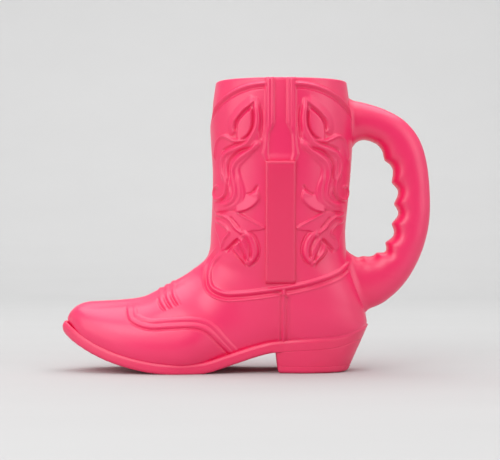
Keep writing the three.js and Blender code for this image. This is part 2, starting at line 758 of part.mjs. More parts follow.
const pink = { color: 0xf04a78, roughness: 0.42, metalness: 0 };
const bodyPlastic = new THREE.MeshStandardMaterial(pink);
const solePlastic = new THREE.MeshStandardMaterial({ ...pink, roughness: 0.48 });
const platePlastic = new THREE.MeshStandardMaterial({ ...pink, color: 0xec3f6e });

function piece(name, made, material) {
  const mesh = new THREE.Mesh(geometryOf(made), material);
  mesh.name = name;
  return mesh;
}

const boot = new THREE.Group();
boot.add(
  piece("boot_upper", bootUpper(), bodyPlastic),
  piece("outsole", outsole(), solePlastic),
  piece("heel_block", heelBlock(), solePlastic),
  piece("heel_cap", heelCap(), solePlastic),
  piece("handle_left", handleHalf(-1), bodyPlastic),
  piece("handle_right", handleHalf(1), bodyPlastic),
  piece("name_plate_left", namePlate(-1), platePlastic),
  piece("name_plate_right", namePlate(1), platePlastic),
);

// The frame's origin is on the floor, under the middle of the whole object.
const extent = new THREE.Box3().setFromObject(boot);
boot.position.set(-(extent.min.x + extent.max.x) / 2, 0, -extent.min.z);

export default boot;
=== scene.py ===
# %% [markdown]
# # A boot mug
# A drinking mug moulded in hot pink plastic as a western boot: the shaft and the foot are the cup, a ribbed
# handle stands on the back, and a bare name plate lies on each side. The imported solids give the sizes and
# places, so this script loads them first and then makes a finer visible piece over each, in the same frame.

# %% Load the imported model
import math
import bmesh
import bpy
import numpy as np
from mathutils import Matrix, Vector
from mathutils.bvhtree import BVHTree


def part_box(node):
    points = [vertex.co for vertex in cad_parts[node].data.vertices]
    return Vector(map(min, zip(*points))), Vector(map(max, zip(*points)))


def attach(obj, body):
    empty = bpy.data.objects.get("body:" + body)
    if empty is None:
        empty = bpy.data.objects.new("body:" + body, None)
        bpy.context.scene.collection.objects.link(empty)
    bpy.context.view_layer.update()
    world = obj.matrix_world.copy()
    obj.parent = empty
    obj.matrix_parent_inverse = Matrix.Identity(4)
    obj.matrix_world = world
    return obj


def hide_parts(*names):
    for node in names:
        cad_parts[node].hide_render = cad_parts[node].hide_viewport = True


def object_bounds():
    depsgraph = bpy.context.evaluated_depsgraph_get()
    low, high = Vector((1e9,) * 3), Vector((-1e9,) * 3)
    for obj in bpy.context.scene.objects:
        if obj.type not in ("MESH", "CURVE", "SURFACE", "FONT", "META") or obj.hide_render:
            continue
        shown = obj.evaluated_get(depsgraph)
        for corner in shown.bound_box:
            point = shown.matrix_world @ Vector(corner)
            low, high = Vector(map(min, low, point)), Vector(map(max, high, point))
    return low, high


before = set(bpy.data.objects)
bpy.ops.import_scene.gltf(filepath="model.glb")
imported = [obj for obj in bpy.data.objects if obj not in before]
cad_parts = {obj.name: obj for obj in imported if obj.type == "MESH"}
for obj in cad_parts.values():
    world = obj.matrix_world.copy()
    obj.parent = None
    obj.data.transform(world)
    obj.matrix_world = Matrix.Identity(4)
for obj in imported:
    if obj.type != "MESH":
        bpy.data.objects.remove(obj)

cad_low, cad_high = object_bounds()
MM = 0.001


def sides_mm(low, high):
    return [round((b - a) / MM, 1) for a, b in zip(low, high)]


print("the solids measure", sides_mm(cad_low, cad_high), "mm")

# %% [markdown]
# ## Lines and small helpers
# A boot has hardly a straight line in it, so nearly everything here is a smooth line through a few chosen
# points. Blender's own curves could draw them, but the shapes below are worked out for many thousand points
# at once, and numpy does that in a moment. Lengths are in millimetres until a mesh is made.

# %% Helpers for lines
def mix(a, b, share):
    return a + (b - a) * share


def span(start, end):
    """A function that goes from start to end as its share goes from 0 to 1."""
    return lambda share: mix(start, end, share)


def smooth(low, high, value):
    share = np.clip((value - low) / (high - low), 0, 1)
    return share * share * (3 - 2 * share)


def through(points):
    """A smooth line through points, as a function of a share from 0 to 1."""
    knots = np.array(points, float)
    last = len(knots) - 1

    def at(share):
        place = last * np.asarray(share, float)
        i = np.clip(np.floor(place).astype(int), 0, last)
        w = (place - i)[..., None]
        before, here = knots[np.maximum(i - 1, 0)], knots[i]
        ahead, beyond = knots[np.minimum(i + 1, last)], knots[np.minimum(i + 2, last)]
        start, end = (ahead - before) / 2, (beyond - here) / 2
        cubic = 2 * here - 2 * ahead + start + end
        square = 3 * ahead - 3 * here - 2 * start - end
        return ((cubic * w + square) * w + start) * w + here

    return at


def bead(distance, half_width):
    """The rounded section of a raised bead, from 1 on its middle to 0 at its edges."""
    return np.clip(1 - (distance / half_width) ** 2, 0, None) ** 1.5


def beads(distance, *rows):
    """Beads side by side: each row is a height, negative for a groove, a place and a half width."""
    return sum(height * bead(distance - place, half_width) for height, place, half_width in rows)


print("a bead a quarter of its width from the middle is", round(float(bead(0.5, 1)), 2), "of its height")

# %% [markdown]
# ## The last
# Shoemakers build a boot on a last, a solid form of the foot. Here the last is a row of rounded ovals, from
# above the mouth down to the toe: each runs from a point on the front line to one on the back or sole line.
# A smooth line through all the front points, another through the back points and a third through the widths
# give the whole form. The sizes are the same as the solids', so both agree.

# %% Sizes of the last
RIM_HEIGHT, MOUTH_LENGTH, MOUTH_WIDTH = 176.4, 83.6, 75.0
BELLY_LENGTH, BELLY_WIDTH, SHAFT_X = 87.6, 76.6, 21.9
ANKLE_HEIGHT, ANKLE_LENGTH, ANKLE_WIDTH, ANKLE_X = 84.0, 82.4, 69.0, 20.0
FOREFOOT_LENGTH, TOE_BOX_HEIGHT, TOE_HEIGHT = 88.0, 43.0, 31.5
BALL_WIDTH, COUNTER_WIDTH, COUNTER_REACH = 61.0, 60.0, 53.5
BALL_CLEARANCE, HEEL_SEAT, HEEL_CURL, HEEL_BREAST_X = 6.2, 20.5, 8.5, 16.3
STRAP_X, SQUARENESS = 20.8, 2.3
BALL_PLACE, INSTEP_DROP = 0.22, 9

plate_low, plate_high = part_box("name_plate_left")
FRAME_X = (plate_low.x + plate_high.x) / 2 / MM - STRAP_X
crease_x = ANKLE_X - ANKLE_LENGTH / 2
toe_x = crease_x - FOREFOOT_LENGTH
heel_x = ANKLE_X + COUNTER_REACH
ball_x = mix(crease_x, toe_x, BALL_PLACE)
instep_top = ANKLE_HEIGHT - INSTEP_DROP
heel_top = HEEL_SEAT + HEEL_CURL
print("the frame lies", round(FRAME_X, 3), "mm along X from the last's own zero")

# %% The sole line, where the upper meets the outsole
along_toe = span(ball_x, toe_x)
along_arch = span(HEEL_BREAST_X, ball_x)
along_heel = span(heel_x, HEEL_BREAST_X)
toe_rise = span(BALL_CLEARANCE, TOE_HEIGHT)
arch_rise = span(BALL_CLEARANCE, HEEL_SEAT)

sole_points = through([
    (toe_x - 14, TOE_HEIGHT + 10.5),
    (toe_x - 4, TOE_HEIGHT + 1.5),
    (along_toe(0.87), toe_rise(0.69)),
    (along_toe(0.68), toe_rise(0.41)),
    (along_toe(0.48), toe_rise(0.21)),
    (along_toe(0.24), toe_rise(0.06)),
    (ball_x, BALL_CLEARANCE),
    (along_arch(0.73), arch_rise(0.06)),
    (along_arch(0.45), arch_rise(0.4)),
    (along_arch(0.16), arch_rise(0.77)),
    (along_heel(0.92), HEEL_SEAT - 0.6),
    (along_heel(0.44), HEEL_SEAT + 0.9),
    (along_heel(0.24), HEEL_SEAT + 0.27 * HEEL_CURL),
    (along_heel(0.1), HEEL_SEAT + 0.6 * HEEL_CURL),
    (heel_x + 1, heel_top),
    (heel_x + 9, heel_top + 8),
])(np.linspace(0, 1, 46))


def sole_height(x):
    return np.interp(x, sole_points[:, 0] + FRAME_X, sole_points[:, 1])


sole_low, sole_high = sole_points[:, 1].min(), sole_points[:, 1].max()
print("the sole line runs from", round(sole_low, 1), "to", round(sole_high, 1), "mm high")

# %% The ovals of the last
ovals = []


def shaft_oval(height, length, width, middle):
    ovals.append((middle - length / 2, height, middle + length / 2, height, width / 2))


def heel_oval(forward, rise, back_x, back_z, width):
    front_z = mix(TOE_BOX_HEIGHT, instep_top, rise)
    ovals.append((mix(crease_x, toe_x, forward), front_z, back_x, back_z, width / 2))


def foot_oval(forward, rise, x, depth, width):
    heel_oval(forward, rise, x, float(sole_height(x + FRAME_X)) - depth, width)


shaft_height = span(ANKLE_HEIGHT, RIM_HEIGHT)
shaft_length = span(ANKLE_LENGTH, BELLY_LENGTH)
shaft_width = span(ANKLE_WIDTH, BELLY_WIDTH)
up_heel = span(HEEL_SEAT, ANKLE_HEIGHT)
arch_width = COUNTER_WIDTH - 9
shaft_oval(RIM_HEIGHT + 16, MOUTH_LENGTH - 3.5, MOUTH_WIDTH - 2.5, SHAFT_X)
shaft_oval(RIM_HEIGHT, MOUTH_LENGTH, MOUTH_WIDTH, SHAFT_X)
shaft_oval(shaft_height(0.82), BELLY_LENGTH, BELLY_WIDTH, SHAFT_X)
shaft_oval(shaft_height(0.6), BELLY_LENGTH - 0.9, BELLY_WIDTH - 0.2, SHAFT_X + 0.3)
shaft_oval(shaft_height(0.4), shaft_length(0.4), shaft_width(0.82), SHAFT_X + 0.3)
shaft_oval(shaft_height(0.19), shaft_length(0.12), shaft_width(0.48), mix(ANKLE_X, SHAFT_X, 0.6))
shaft_oval(ANKLE_HEIGHT, ANKLE_LENGTH, ANKLE_WIDTH, ANKLE_X)
heel_oval(0.005, 1.03, mix(ANKLE_X, heel_x, 0.8), up_heel(0.75), mix(COUNTER_WIDTH, ANKLE_WIDTH, 0.64))
heel_oval(0.022, 0.86, mix(ANKLE_X, heel_x, 0.917), up_heel(0.49), mix(COUNTER_WIDTH, ANKLE_WIDTH, 0.33))
heel_oval(0.046, 0.765, heel_x, up_heel(0.25), COUNTER_WIDTH)
foot_oval(0.084, 0.672, heel_x, HEEL_CURL + 0.5, COUNTER_WIDTH - 2)
foot_oval(0.12, 0.603, along_heel(0.28), 15.5, COUNTER_WIDTH - 6)
foot_oval(0.155, 0.531, along_heel(0.8), 12.5, arch_width)
foot_oval(0.2, 0.453, along_arch(0.2), 14.2, mix(arch_width, BALL_WIDTH, 0.2))
foot_oval(0.267, 0.353, along_arch(0.62), 12.2, BALL_WIDTH - 1)
foot_oval(0.358, 0.219, along_arch(0.97), 12.8, BALL_WIDTH)
for forward, rise, along, depth, narrow in (
        (0.472, 0.07, 0.23, 11.8, 0.95), (0.608, 0.014, 0.45, 10.6, 0.855), (0.744, -0.01, 0.635, 8.3, 0.715),
        (0.857, -0.03, 0.795, 5.8, 0.545), (0.93, -0.1, 0.902, 4, 0.38), (0.976, -0.21, 0.965, 1.6, 0.215),
        (0.999, -0.315, 0.999, 0.8, 0.07)):
    foot_oval(forward, rise, along_toe(along), depth, BALL_WIDTH * narrow)
oval_line = through(ovals)
RIM_SHARE = 1 / (len(ovals) - 1)
print("the last has", len(ovals), "ovals")

# %% Points and normals of the last
def signed_power(value, exponent):
    return np.sign(value) * np.abs(value) ** exponent


def last_point(share, turn):
    """A point of the outer form: share runs from above the mouth to the toe, turn from the front round."""
    front_x, front_z, back_x, back_z, half = np.moveaxis(oval_line(share), -1, 0)
    lengthwise = (1 - signed_power(np.cos(turn), 2 / SQUARENESS)) / 2
    sideways = half * signed_power(np.sin(turn), 2 / SQUARENESS)
    x = mix(front_x, back_x, lengthwise) + FRAME_X
    return np.stack(np.broadcast_arrays(x, sideways, mix(front_z, back_z, lengthwise)), -1)


def last_normal(share, turn):
    step = 0.004
    down = last_point(np.minimum(share + step, 1), turn) - last_point(np.maximum(share - step, 0), turn)
    round_it = last_point(share, turn + step) - last_point(share, turn - step)
    normal = np.cross(round_it, down)
    return normal / np.linalg.norm(normal, axis=-1, keepdims=True)


side_share = np.linspace(RIM_SHARE, 0.5, 400)
side_line = last_point(side_share, math.pi / 2)


def shaft_half_width(height):
    return np.interp(-height, -side_line[:, 2], side_line[:, 1])


print("the shaft is", round(2 * float(shaft_half_width(150)), 1), "mm wide at a height of 150 mm")

# %% [markdown]
# ## A fine net over the last
# The relief on the shaft is one to two millimetres deep, and the solids have only its main forms. To hold the
# rest in real geometry the visible upper is a net of points about 0.5 mm apart. Each ring of the net is
# shared out evenly from the instep to the sole line, so that the squares stay square and a bead keeps its
# section wherever it runs. A displacement texture on a subdivided form could do the same, but it would need
# an unwrapped map first.

# %% Helpers for runs and rings
TURNS = np.linspace(0, math.pi, 481)


def steps_of(path):
    """The lengths between neighbouring points of a path."""
    return np.linalg.norm(np.diff(path, axis=-2), axis=-1)


def run_up(steps):
    """The length run up to each point of a path, from the steps between its points."""
    return np.concatenate([np.zeros_like(steps[..., :1]), np.cumsum(steps, axis=-1)], axis=-1)


def over_sole(rings, tuck):
    """Heights over a line that lies a tuck below the sole line. The front half of a ring counts as above."""
    over = rings[..., 2] - (sole_height(rings[..., 0]) - tuck)
    over[:, : len(TURNS) // 2] = 1
    return over


def sole_crossing(over):
    """The last place on a ring before it goes under, and how far towards the next place it does."""
    j = int(np.argmax(over <= 0))
    return j - 1, over[j - 1] / (over[j - 1] - over[j])


print("a ring is searched at", len(TURNS), "places a side")

# %% Rings shared out evenly
TUCK = 1.2


def shared_turns(shares, columns, inset):
    """For each ring: the turn at each column, arc lengths from the strap, and whether it is closed."""
    dense = last_point(shares[:, None], TURNS[None, :])
    dense = dense - last_normal(shares[:, None], TURNS[None, :]) * inset(dense[..., 2])[..., None]
    over = over_sole(dense, TUCK)
    lengths = run_up(steps_of(dense))
    turn = np.empty((len(shares), len(columns)))
    arc = np.empty_like(turn)
    closed = (over > 0).all(axis=1)
    for i in range(len(shares)):
        end = lengths[i, -1]
        if not closed[i]:
            j, part = sole_crossing(over[i])
            end = mix(lengths[i, j], lengths[i, j + 1], part)
        turn[i] = np.interp(columns * end, lengths[i], TURNS)
        strap = np.interp(STRAP_X + FRAME_X, dense[i, :, 0], lengths[i])
        arc[i] = columns * end - strap
    return turn, arc, closed


ROW_SPACING = 0.5
HALF_COLUMNS = 248
dense_share = np.linspace(RIM_SHARE, 1, 4000)
steps_down = [steps_of(last_point(dense_share, part * math.pi)) for part in (0, 0.5, 0.75)]
run = run_up(np.max(steps_down, axis=0))
row_count = int(run[-1] / ROW_SPACING)
rows = np.interp(np.linspace(0, run[-1], row_count), run, dense_share)
columns = np.linspace(0, 1, HALF_COLUMNS + 1)
turn, arc, closed = shared_turns(rows, columns, np.zeros_like)
print("net of", row_count, "rings,", int(closed.sum()), "of them closed, and", HALF_COLUMNS, "columns a side")

# %% [markdown]
# ## Relief
# The mould was cut with a collar edge, a pull strap, an ankle piping, a wing-tip band, wrinkles and, on both
# halves of each side, a scroll of leaves and ribbons. Each is a height above the last, found from the
# distance to a line. A ribbon is a rounded bead along its line, a groove is a bead turned inwards, a leaf is
# a plateau inside a closed outline, and a cliff drops sharply on one side of its line and fades on the other.
# Painting the heights by brush would be quicker for an artist; lines can be changed and mirrored.

# %% Distance to a line, and inside an outline
def distance_to(u, v, line, reach, closed_line=False):
    """Signed distance from points (u, v) to a smooth line, positive on its left, and the share along it."""
    points = line + line[:1] if closed_line else line
    path = through(points)(np.linspace(0, 1, 10 * len(points) + 1))
    distance = np.full(u.shape, 1e3)
    share = np.zeros(u.shape)
    low, high = path.min(axis=0) - reach, path.max(axis=0) + reach
    near = (u > low[0]) & (u < high[0]) & (v > low[1]) & (v < high[1])
    at = np.stack([u[near], v[near]], -1)
    best = np.full(len(at), 1e3)
    where = np.zeros(len(at))
    for k in range(len(path) - 1):
        along = path[k + 1] - path[k]
        offset = at - path[k]
        part = np.clip(offset @ along / max(along @ along, 1e-9), 0, 1)
        gap = offset - part[:, None] * along
        size = np.hypot(gap[:, 0], gap[:, 1])
        side = np.where(along[0] * offset[:, 1] - along[1] * offset[:, 0] >= 0, 1.0, -1.0)
        closer = size < np.abs(best)
        best = np.where(closer, size * side, best)
        where = np.where(closer, (k + part) / (len(path) - 1), where)
    distance[near] = best
    share[near] = where
    return distance, share


def inside(u, v, outline, reach):
    """Distance inside a closed outline, negative outside it."""
    path = through(outline + outline[:1])(np.linspace(0, 1, 10 * len(outline) + 1))
    away = np.abs(distance_to(u, v, outline, reach, closed_line=True)[0])
    odd = np.zeros(u.shape, bool)
    near = away < 1e3
    at_u, at_v, at_odd = u[near], v[near], odd[near]
    for (u0, v0), (u1, v1) in zip(path[:-1], path[1:]):
        crosses = (v0 > at_v) != (v1 > at_v)
        rise = v1 - v0 if v1 != v0 else 1e-9
        at_odd ^= crosses & (at_u < u0 + (at_v - v0) * (u1 - u0) / rise)
    odd[near] = at_odd
    return np.where(odd, away, -away)


in_loop = inside(np.array([5.0]), np.array([5.0]), [(0, 0), (10, 0), (10, 10), (0, 10)], 9)
print("a smooth loop round a 10 mm square passes", round(float(in_loop[0]), 1), "mm from its middle")

# %% Leaves and cliffs on one half of a side: distance from the strap's middle, and height
# Each leaf has a rise, as a share of the scroll's depth, and an outline.
leaves = {
    "flame_leaf": (0.6, [
        (17.2, 157.5), (16.9, 153), (17, 148.5), (18.2, 144.5), (20.5, 141.5), (23.5, 139.8),
        (26.3, 140.2), (26.6, 143.5), (26.2, 147.5), (24.8, 151), (21.3, 154.6),
    ]),
    "ribbon_body": (0.6, [
        (12, 139), (12.6, 135), (16, 132), (19, 129), (22.5, 126), (25, 122.8), (24.5, 118.5),
        (22.6, 113), (21.6, 107.7), (22.5, 102.8), (25.7, 99.4), (30.3, 97.6), (39.6, 97), (48, 97.5),
        (52, 110), (51, 126), (46.5, 136), (42, 141), (35, 142.5), (27, 139.5), (20, 141), (16, 147),
        (15.5, 154), (16, 160), (14, 164), (12.6, 158), (12, 150), (12.7, 144),
    ]),
    "arrow_leaf": (0.7, [
        (26.3, 97), (23.7, 95.6), (19.5, 93.4), (14.8, 90.9), (10.5, 88.5), (9.4, 87.2), (12.2, 86.1),
        (15.6, 85.9), (18.4, 85.2), (21.5, 84), (24.4, 84.6), (27.9, 87.6), (30.1, 90.5), (33.4, 93),
        (38, 95), (32, 97.2),
    ]),
    "arm_body": (0.4, [
        (46, 96.5), (38, 95.5), (32, 92.8), (28, 88), (24, 84.5), (24.4, 81.5), (27, 80.3),
        (30.5, 77.8), (34.7, 74.6), (38.6, 74.5), (41, 81), (47, 89),
    ]),
    "bud": (0.7, [
        (19.5, 85.2), (16.6, 83.4), (14.9, 80.6), (13.8, 77.4), (13.3, 74.2), (13.8, 71), (16, 67.6),
        (18.9, 64.9), (19.6, 64.9), (22.8, 68.7), (26.2, 71.4), (28.1, 74.3), (27.7, 77.8), (26, 80.3),
        (22.8, 83.2),
    ]),
}
# Each cliff has a rise, the width over which it fades, and a line.
cliffs = {
    "flame_edge": (1.0, 5.0, [
        (14, 163.2), (18.3, 159.5), (22.3, 156.5), (25.5, 153.3), (27.8, 150.6), (28.6, 148),
        (28.2, 145.5), (27.2, 143.6),
    ]),
    "leaf_tip": (1.25, 9, [
        (13.6, 110.5), (12.5, 105.5), (13.8, 102.5), (16.6, 100), (19.8, 98.2), (24, 97), (28, 96.6),
    ]),
}
print("one half of a side has", len(leaves), "leaves and", len(cliffs), "cliffs")

# %% Ribbons
# Each has a rise, half its width, and a line.
ribbons = {
    "stem": (0.75, 2.0, [
        (14.8, 163.5), (14.1, 158), (13.6, 153), (14, 148), (15.4, 143.9), (18, 139.7), (21.1, 136.8),
        (25.4, 134.9), (30.5, 133.1), (35, 131.2), (37.8, 128), (38.4, 124), (37.5, 119), (35.5, 114),
    ]),
    "lip": (0.75, 1.4, [
        (21.7, 139.7), (26.9, 138.8), (31, 140.2), (35.2, 142), (39.4, 141.4), (42.5, 139),
        (44.3, 135.5), (45.6, 132), (46.9, 127.7),
    ]),
    "ribbon": (0.75, 2.0, [
        (11.5, 138.5), (14.6, 136), (17.3, 133.6), (20.6, 131.2), (24.2, 128.9), (27.6, 126),
        (29.4, 122), (29.2, 117.5), (28, 112.5), (27.6, 108), (29.4, 104), (34.3, 101.4), (46, 100.4),
    ]),
    "vein": (0.35, 0.8, [(34.6, 129), (35.4, 122), (34, 115), (31, 107), (34, 104)]),
    "spiral": (0.65, 1.3, [
        (38.4, 125), (37.3, 120), (35, 115), (34.6, 111), (36.3, 106.8), (40.5, 104.8), (46, 105),
        (49, 108.2), (47, 111.4), (43.5, 112.3), (41.2, 111),
    ]),
    "band_edge": (0.3, 1.5, [
        (26.5, 119), (25, 113), (24.4, 108.6), (25.3, 104), (28.6, 100.8), (34.8, 99), (46, 98.6),
    ]),
    "upper_arm": (0.7, 1.2, [
        (46.6, 96), (38.4, 94.8), (33.4, 93), (30.1, 90.3), (27.9, 87.6), (24.4, 85.1), (21, 82),
    ]),
    "lower_arm": (0.6, 1.1, [
        (45.7, 91.9), (38.7, 90.3), (34.1, 87.5), (32, 84.7), (33, 83), (35.5, 80.6), (36.7, 78),
        (38.5, 74.7),
    ]),
    "arrow_edge": (0.35, 0.8, [(26.3, 96.4), (23.7, 95.1), (19.5, 92.9), (14.8, 90.4), (10.6, 88.1)]),
    "right_petal": (0.6, 1.9, [
        (22.6, 85), (18.3, 82.3), (16.1, 78), (15.4, 73.7), (16, 70), (18.6, 66.5),
    ]),
    "middle_petal": (0.5, 1.2, [(23.6, 81), (21.2, 76.8), (19.6, 72.9), (19.3, 67.9)]),
    "left_petal": (0.65, 1.2, [(27, 78.4), (26.1, 73.7), (23.8, 70.5), (21.4, 67.9), (19.8, 65.8)]),
}
print("one half of a side has", len(ribbons), "ribbons")

# %% Grooves
# Each has a depth, half its width, and a line.
grooves = {
    "beside_leaf": (0.6, 0.9, [
        (16.6, 158.5), (16.2, 152.6), (16.5, 147.7), (18.1, 144), (20.8, 141), (25, 139),
    ]),
    "beside_strap": (0.5, 1.3, [(12.2, 161), (11.3, 153), (11.4, 147), (12, 141), (13.5, 138)]),
    "inside_flame": (0.5, 0.9, [
        (16.5, 160), (20.9, 157), (23.8, 154.3), (26.4, 151), (27.3, 147.7), (27.2, 144),
    ]),
    "under_lip": (0.65, 0.9, [(19, 139.2), (23.4, 137.4), (28.5, 136.5), (34.5, 134.8), (38, 133)]),
    "under_stem": (0.9, 1.1, [
        (15.5, 136.4), (19.5, 134), (23.7, 133), (27.3, 131), (31, 128.4), (32.8, 124.7),
        (32.5, 119.5), (31.7, 113),
    ]),
    "round_spiral": (0.45, 0.9, [(33.6, 117), (32.8, 112), (34, 107), (38.2, 103.8), (46, 102.6)]),
    "short_nick": (0.7, 0.9, [(13.5, 113), (15.3, 110.2), (17.6, 108), (20.5, 107.4)]),
    "arrow_nick": (0.55, 0.9, [(31, 94), (29.2, 92.2), (26.5, 89.5), (24.2, 87)]),
    "under_belly": (0.8, 1.7, [(35, 73), (30.5, 76.4), (27.6, 79), (25, 80.4)]),
    "petal_right": (0.55, 0.9, [(21.6, 82.4), (18.8, 77.6), (17.6, 73.3), (17.7, 69.3)]),
    "petal_left": (0.65, 0.9, [(25, 80.6), (23.9, 76.1), (22, 71.9), (20.2, 66.9)]),
    "round_bud": (0.4, 0.9, [
        (17.4, 85), (15, 82.2), (13.2, 78.3), (12.4, 74.2), (13, 70.4), (15.6, 66.8), (19, 64),
    ]),
    "left_of_bud": (0.5, 1.0, [(20, 64), (23.4, 68), (26.8, 70.8), (29, 74.1), (28.6, 78.2)]),
}
print("one half of a side has", len(grooves), "grooves")

# %% Height of the scroll
LEAF_EDGE, LEAF_REACH, BEAD_REACH = 0.5, 3, 4
RAISED_TAPER, GROOVE_TAPER = 0.1, 0.15
SCROLL_DEPTH = 1.65


def end_taper(share, length):
    return smooth(0, length, share) * smooth(0, length, 1 - share)


def scroll_height(u, v):
    height = np.zeros(u.shape)
    for rise, outline in leaves.values():
        deep = inside(u, v, outline, LEAF_REACH)
        height = np.maximum(height, rise * smooth(-LEAF_EDGE, LEAF_EDGE, deep))
    for rise, fade, line in cliffs.values():
        away, share = distance_to(u, v, line, fade)
        slope = smooth(-LEAF_EDGE, LEAF_EDGE, away) * np.clip(1 - away / fade, 0, 1)
        height = np.maximum(height, rise * slope * end_taper(share, RAISED_TAPER))
    raised = np.zeros(u.shape)
    for rise, half_width, line in ribbons.values():
        away, share = distance_to(u, v, line, BEAD_REACH)
        raised = np.maximum(raised, rise * bead(away, half_width) * end_taper(share, RAISED_TAPER))
    height = height + raised
    for depth, half_width, line in grooves.values():
        away, share = distance_to(u, v, line, BEAD_REACH)
        height = height - depth * bead(away, half_width) * end_taper(share, GROOVE_TAPER)
    return SCROLL_DEPTH * height


tallest_leaf = SCROLL_DEPTH * max(rise for rise, outline in leaves.values())
print("the tallest leaf stands", round(tallest_leaf, 2), "mm above the last")

# %% Collar and strap
COLLAR_STEP, COLLAR_DROP, COLLAR_TOP = 1.7, 24.0, RIM_HEIGHT - 3.2
COLLAR_BEADS, COLLAR_RAMP = [(1.1, -0.5, 1.7), (-0.9, -2.9, 1.2)], (-0.9, 1.5)
COLLAR_ENDS, END_BELOW, END_ABOVE = (0.88, 0.995), 4, 8
STRAP_HALF, STRAP_HEIGHT, HOLLOW_DEPTH = 8.9, 1.1, 0.45
BELL_INNER = [(127, 6.4), (131, 7.4), (137, 7.3), (143, 6.8), (149, 4.0)]
BELL_OUTER = [(127, 8.8), (131, 10.6), (135, 9.6), (142, STRAP_HALF)]
RAIL_FOOT, RAIL_LINES = 0.8, [(0.5, 5.6, 0.7), (0.4, 7.8, 0.6)]
RAIL_STARTS, RAIL_GROWS, LINES_START, HOLLOW_STARTS = (126, 127.5), (140, 147), (144, 149), (127.5, 132)


def collar_height(x, z, slant):
    """Height of the collar's step and of the bead on its edge. slant is how fast x changes on the surface."""
    out = np.abs(x - STRAP_X)
    end = np.where(x < STRAP_X, STRAP_X - (SHAFT_X - BELLY_LENGTH / 2), SHAFT_X + BELLY_LENGTH / 2 - STRAP_X)
    share = np.clip((out - STRAP_HALF) / (end - STRAP_HALF), 0, 0.999)
    edge = COLLAR_TOP - COLLAR_DROP * (1 - np.sqrt(1 - share**2))
    slope = COLLAR_DROP * share / np.sqrt(1 - share**2) / (end - STRAP_HALF)
    away = (z - edge) / np.sqrt(1 + (slope * slant) ** 2)
    ease = smooth(*COLLAR_ENDS, share)
    step = mix(smooth(*COLLAR_RAMP, away), smooth(edge - END_BELOW, edge + END_ABOVE, z), ease)
    height = -COLLAR_STEP * step + beads(away, *COLLAR_BEADS) * (1 - ease)
    return height * smooth(STRAP_HALF - 0.3, STRAP_HALF + 0.3, out)


def strap_height(x, z):
    """Two ribbed rails with a channel between them, which opens into a bell-shaped hollow above the plate."""
    out = np.abs(x - STRAP_X)
    inner = np.interp(z, *zip(*BELL_INNER))
    outer = np.interp(z, *zip(*BELL_OUTER))
    rail = smooth(-0.35, 0.35, out - inner) * smooth(-0.4, 0.4, outer - out) * smooth(*RAIL_STARTS, z)
    tall = mix(RAIL_FOOT, STRAP_HEIGHT, smooth(*RAIL_GROWS, z))
    lines = beads(out, *RAIL_LINES) * smooth(*LINES_START, z)
    hollow = smooth(0.4, -0.4, out - inner) * smooth(*HOLLOW_STARTS, z)
    return (tall - lines) * rail - HOLLOW_DEPTH * hollow


print("the collar steps in by", COLLAR_STEP, "mm and dips by", COLLAR_DROP, "mm at its ends")

# %% Lines of the ankle piping and the wing-tip
up_ankle = span(TOE_BOX_HEIGHT, ANKLE_HEIGHT)
to_crease = span(STRAP_X, crease_x)
to_back = span(STRAP_X, SHAFT_X + BELLY_LENGTH / 2)

ankle_front = [(to_crease(out), up_ankle(up)) for out, up in (
    (0.81, 0.756), (0.954, 0.57), (1.01, 0.4), (0.968, 0.215), (0.791, 0.128), (0.582, 0.13), (0.304, 0.162),
    (0.0, 0.207))]
ankle_back = [(to_back(out), up_ankle(up)) for out, up in (
    (0.0, 0.207), (0.25, 0.255), (0.525, 0.335), (0.776, 0.44), (0.936, 0.57))]
vamp_line = [(x, TOE_BOX_HEIGHT + up) for x, up in (
    (along_toe(0.435), 4), (along_toe(0.422), -4), (along_toe(0.385), -9.7), (along_toe(0.25), -13.4),
    (along_toe(0.07), -13.1), (along_arch(0.88), -12.8), (along_arch(0.74), -14.1), (along_arch(0.64), -17.5),
    (along_arch(0.54), -23.2), (along_arch(0.42), -30.5))]
print("the piping has", len(ankle_front) + len(ankle_back), "points and the wing-tip", len(vamp_line))

# %% Ankle piping and side rib
PIPING_BEADS, PANEL_EDGE = [(1.3, 0.0, 1.7), (-0.7, -2.45, 1.1)], (0.5, -4.3, 0.75)
PIPING_STARTS, RIB_CLEAR = (0, 0.14), (1.8, 2.4)
RIB_X, RIB_HALF, RIB_HEIGHTS = 22.9, 1.45, (0.95, 1.6)
RIB_GROWS, RIB_TOP, RIB_FOOT = (42.2, 49.2), (51.6, 50.1), (14, 16)
RIB_EDGES, RIB_EDGES_TOP = [(0.4, 2.7, 0.9), (-0.2, 1.6, 0.7)], (48.2, 46.7)


def piping_height(x, z):
    height = np.zeros(x.shape)
    for line in (ankle_front, ankle_back):
        away, share = distance_to(x, z, line, 7)
        panel_edge = beads(away, PANEL_EDGE) * smooth(*RIB_CLEAR, np.abs(x - RIB_X))
        one = beads(away, *PIPING_BEADS) + panel_edge
        if line is ankle_front:
            one = one * smooth(*PIPING_STARTS, share)
        height = np.where(np.abs(one) > np.abs(height), one, height)
    return height


def rib_height(x, z):
    out = np.abs(x - RIB_X)
    rib = mix(*RIB_HEIGHTS, smooth(*RIB_GROWS, z)) * bead(out, RIB_HALF) * smooth(*RIB_TOP, z)
    edges = beads(out, *RIB_EDGES) * smooth(*RIB_EDGES_TOP, z)
    return (rib + edges) * smooth(*RIB_FOOT, z)


print("the rib is up to", max(RIB_HEIGHTS), "mm high")

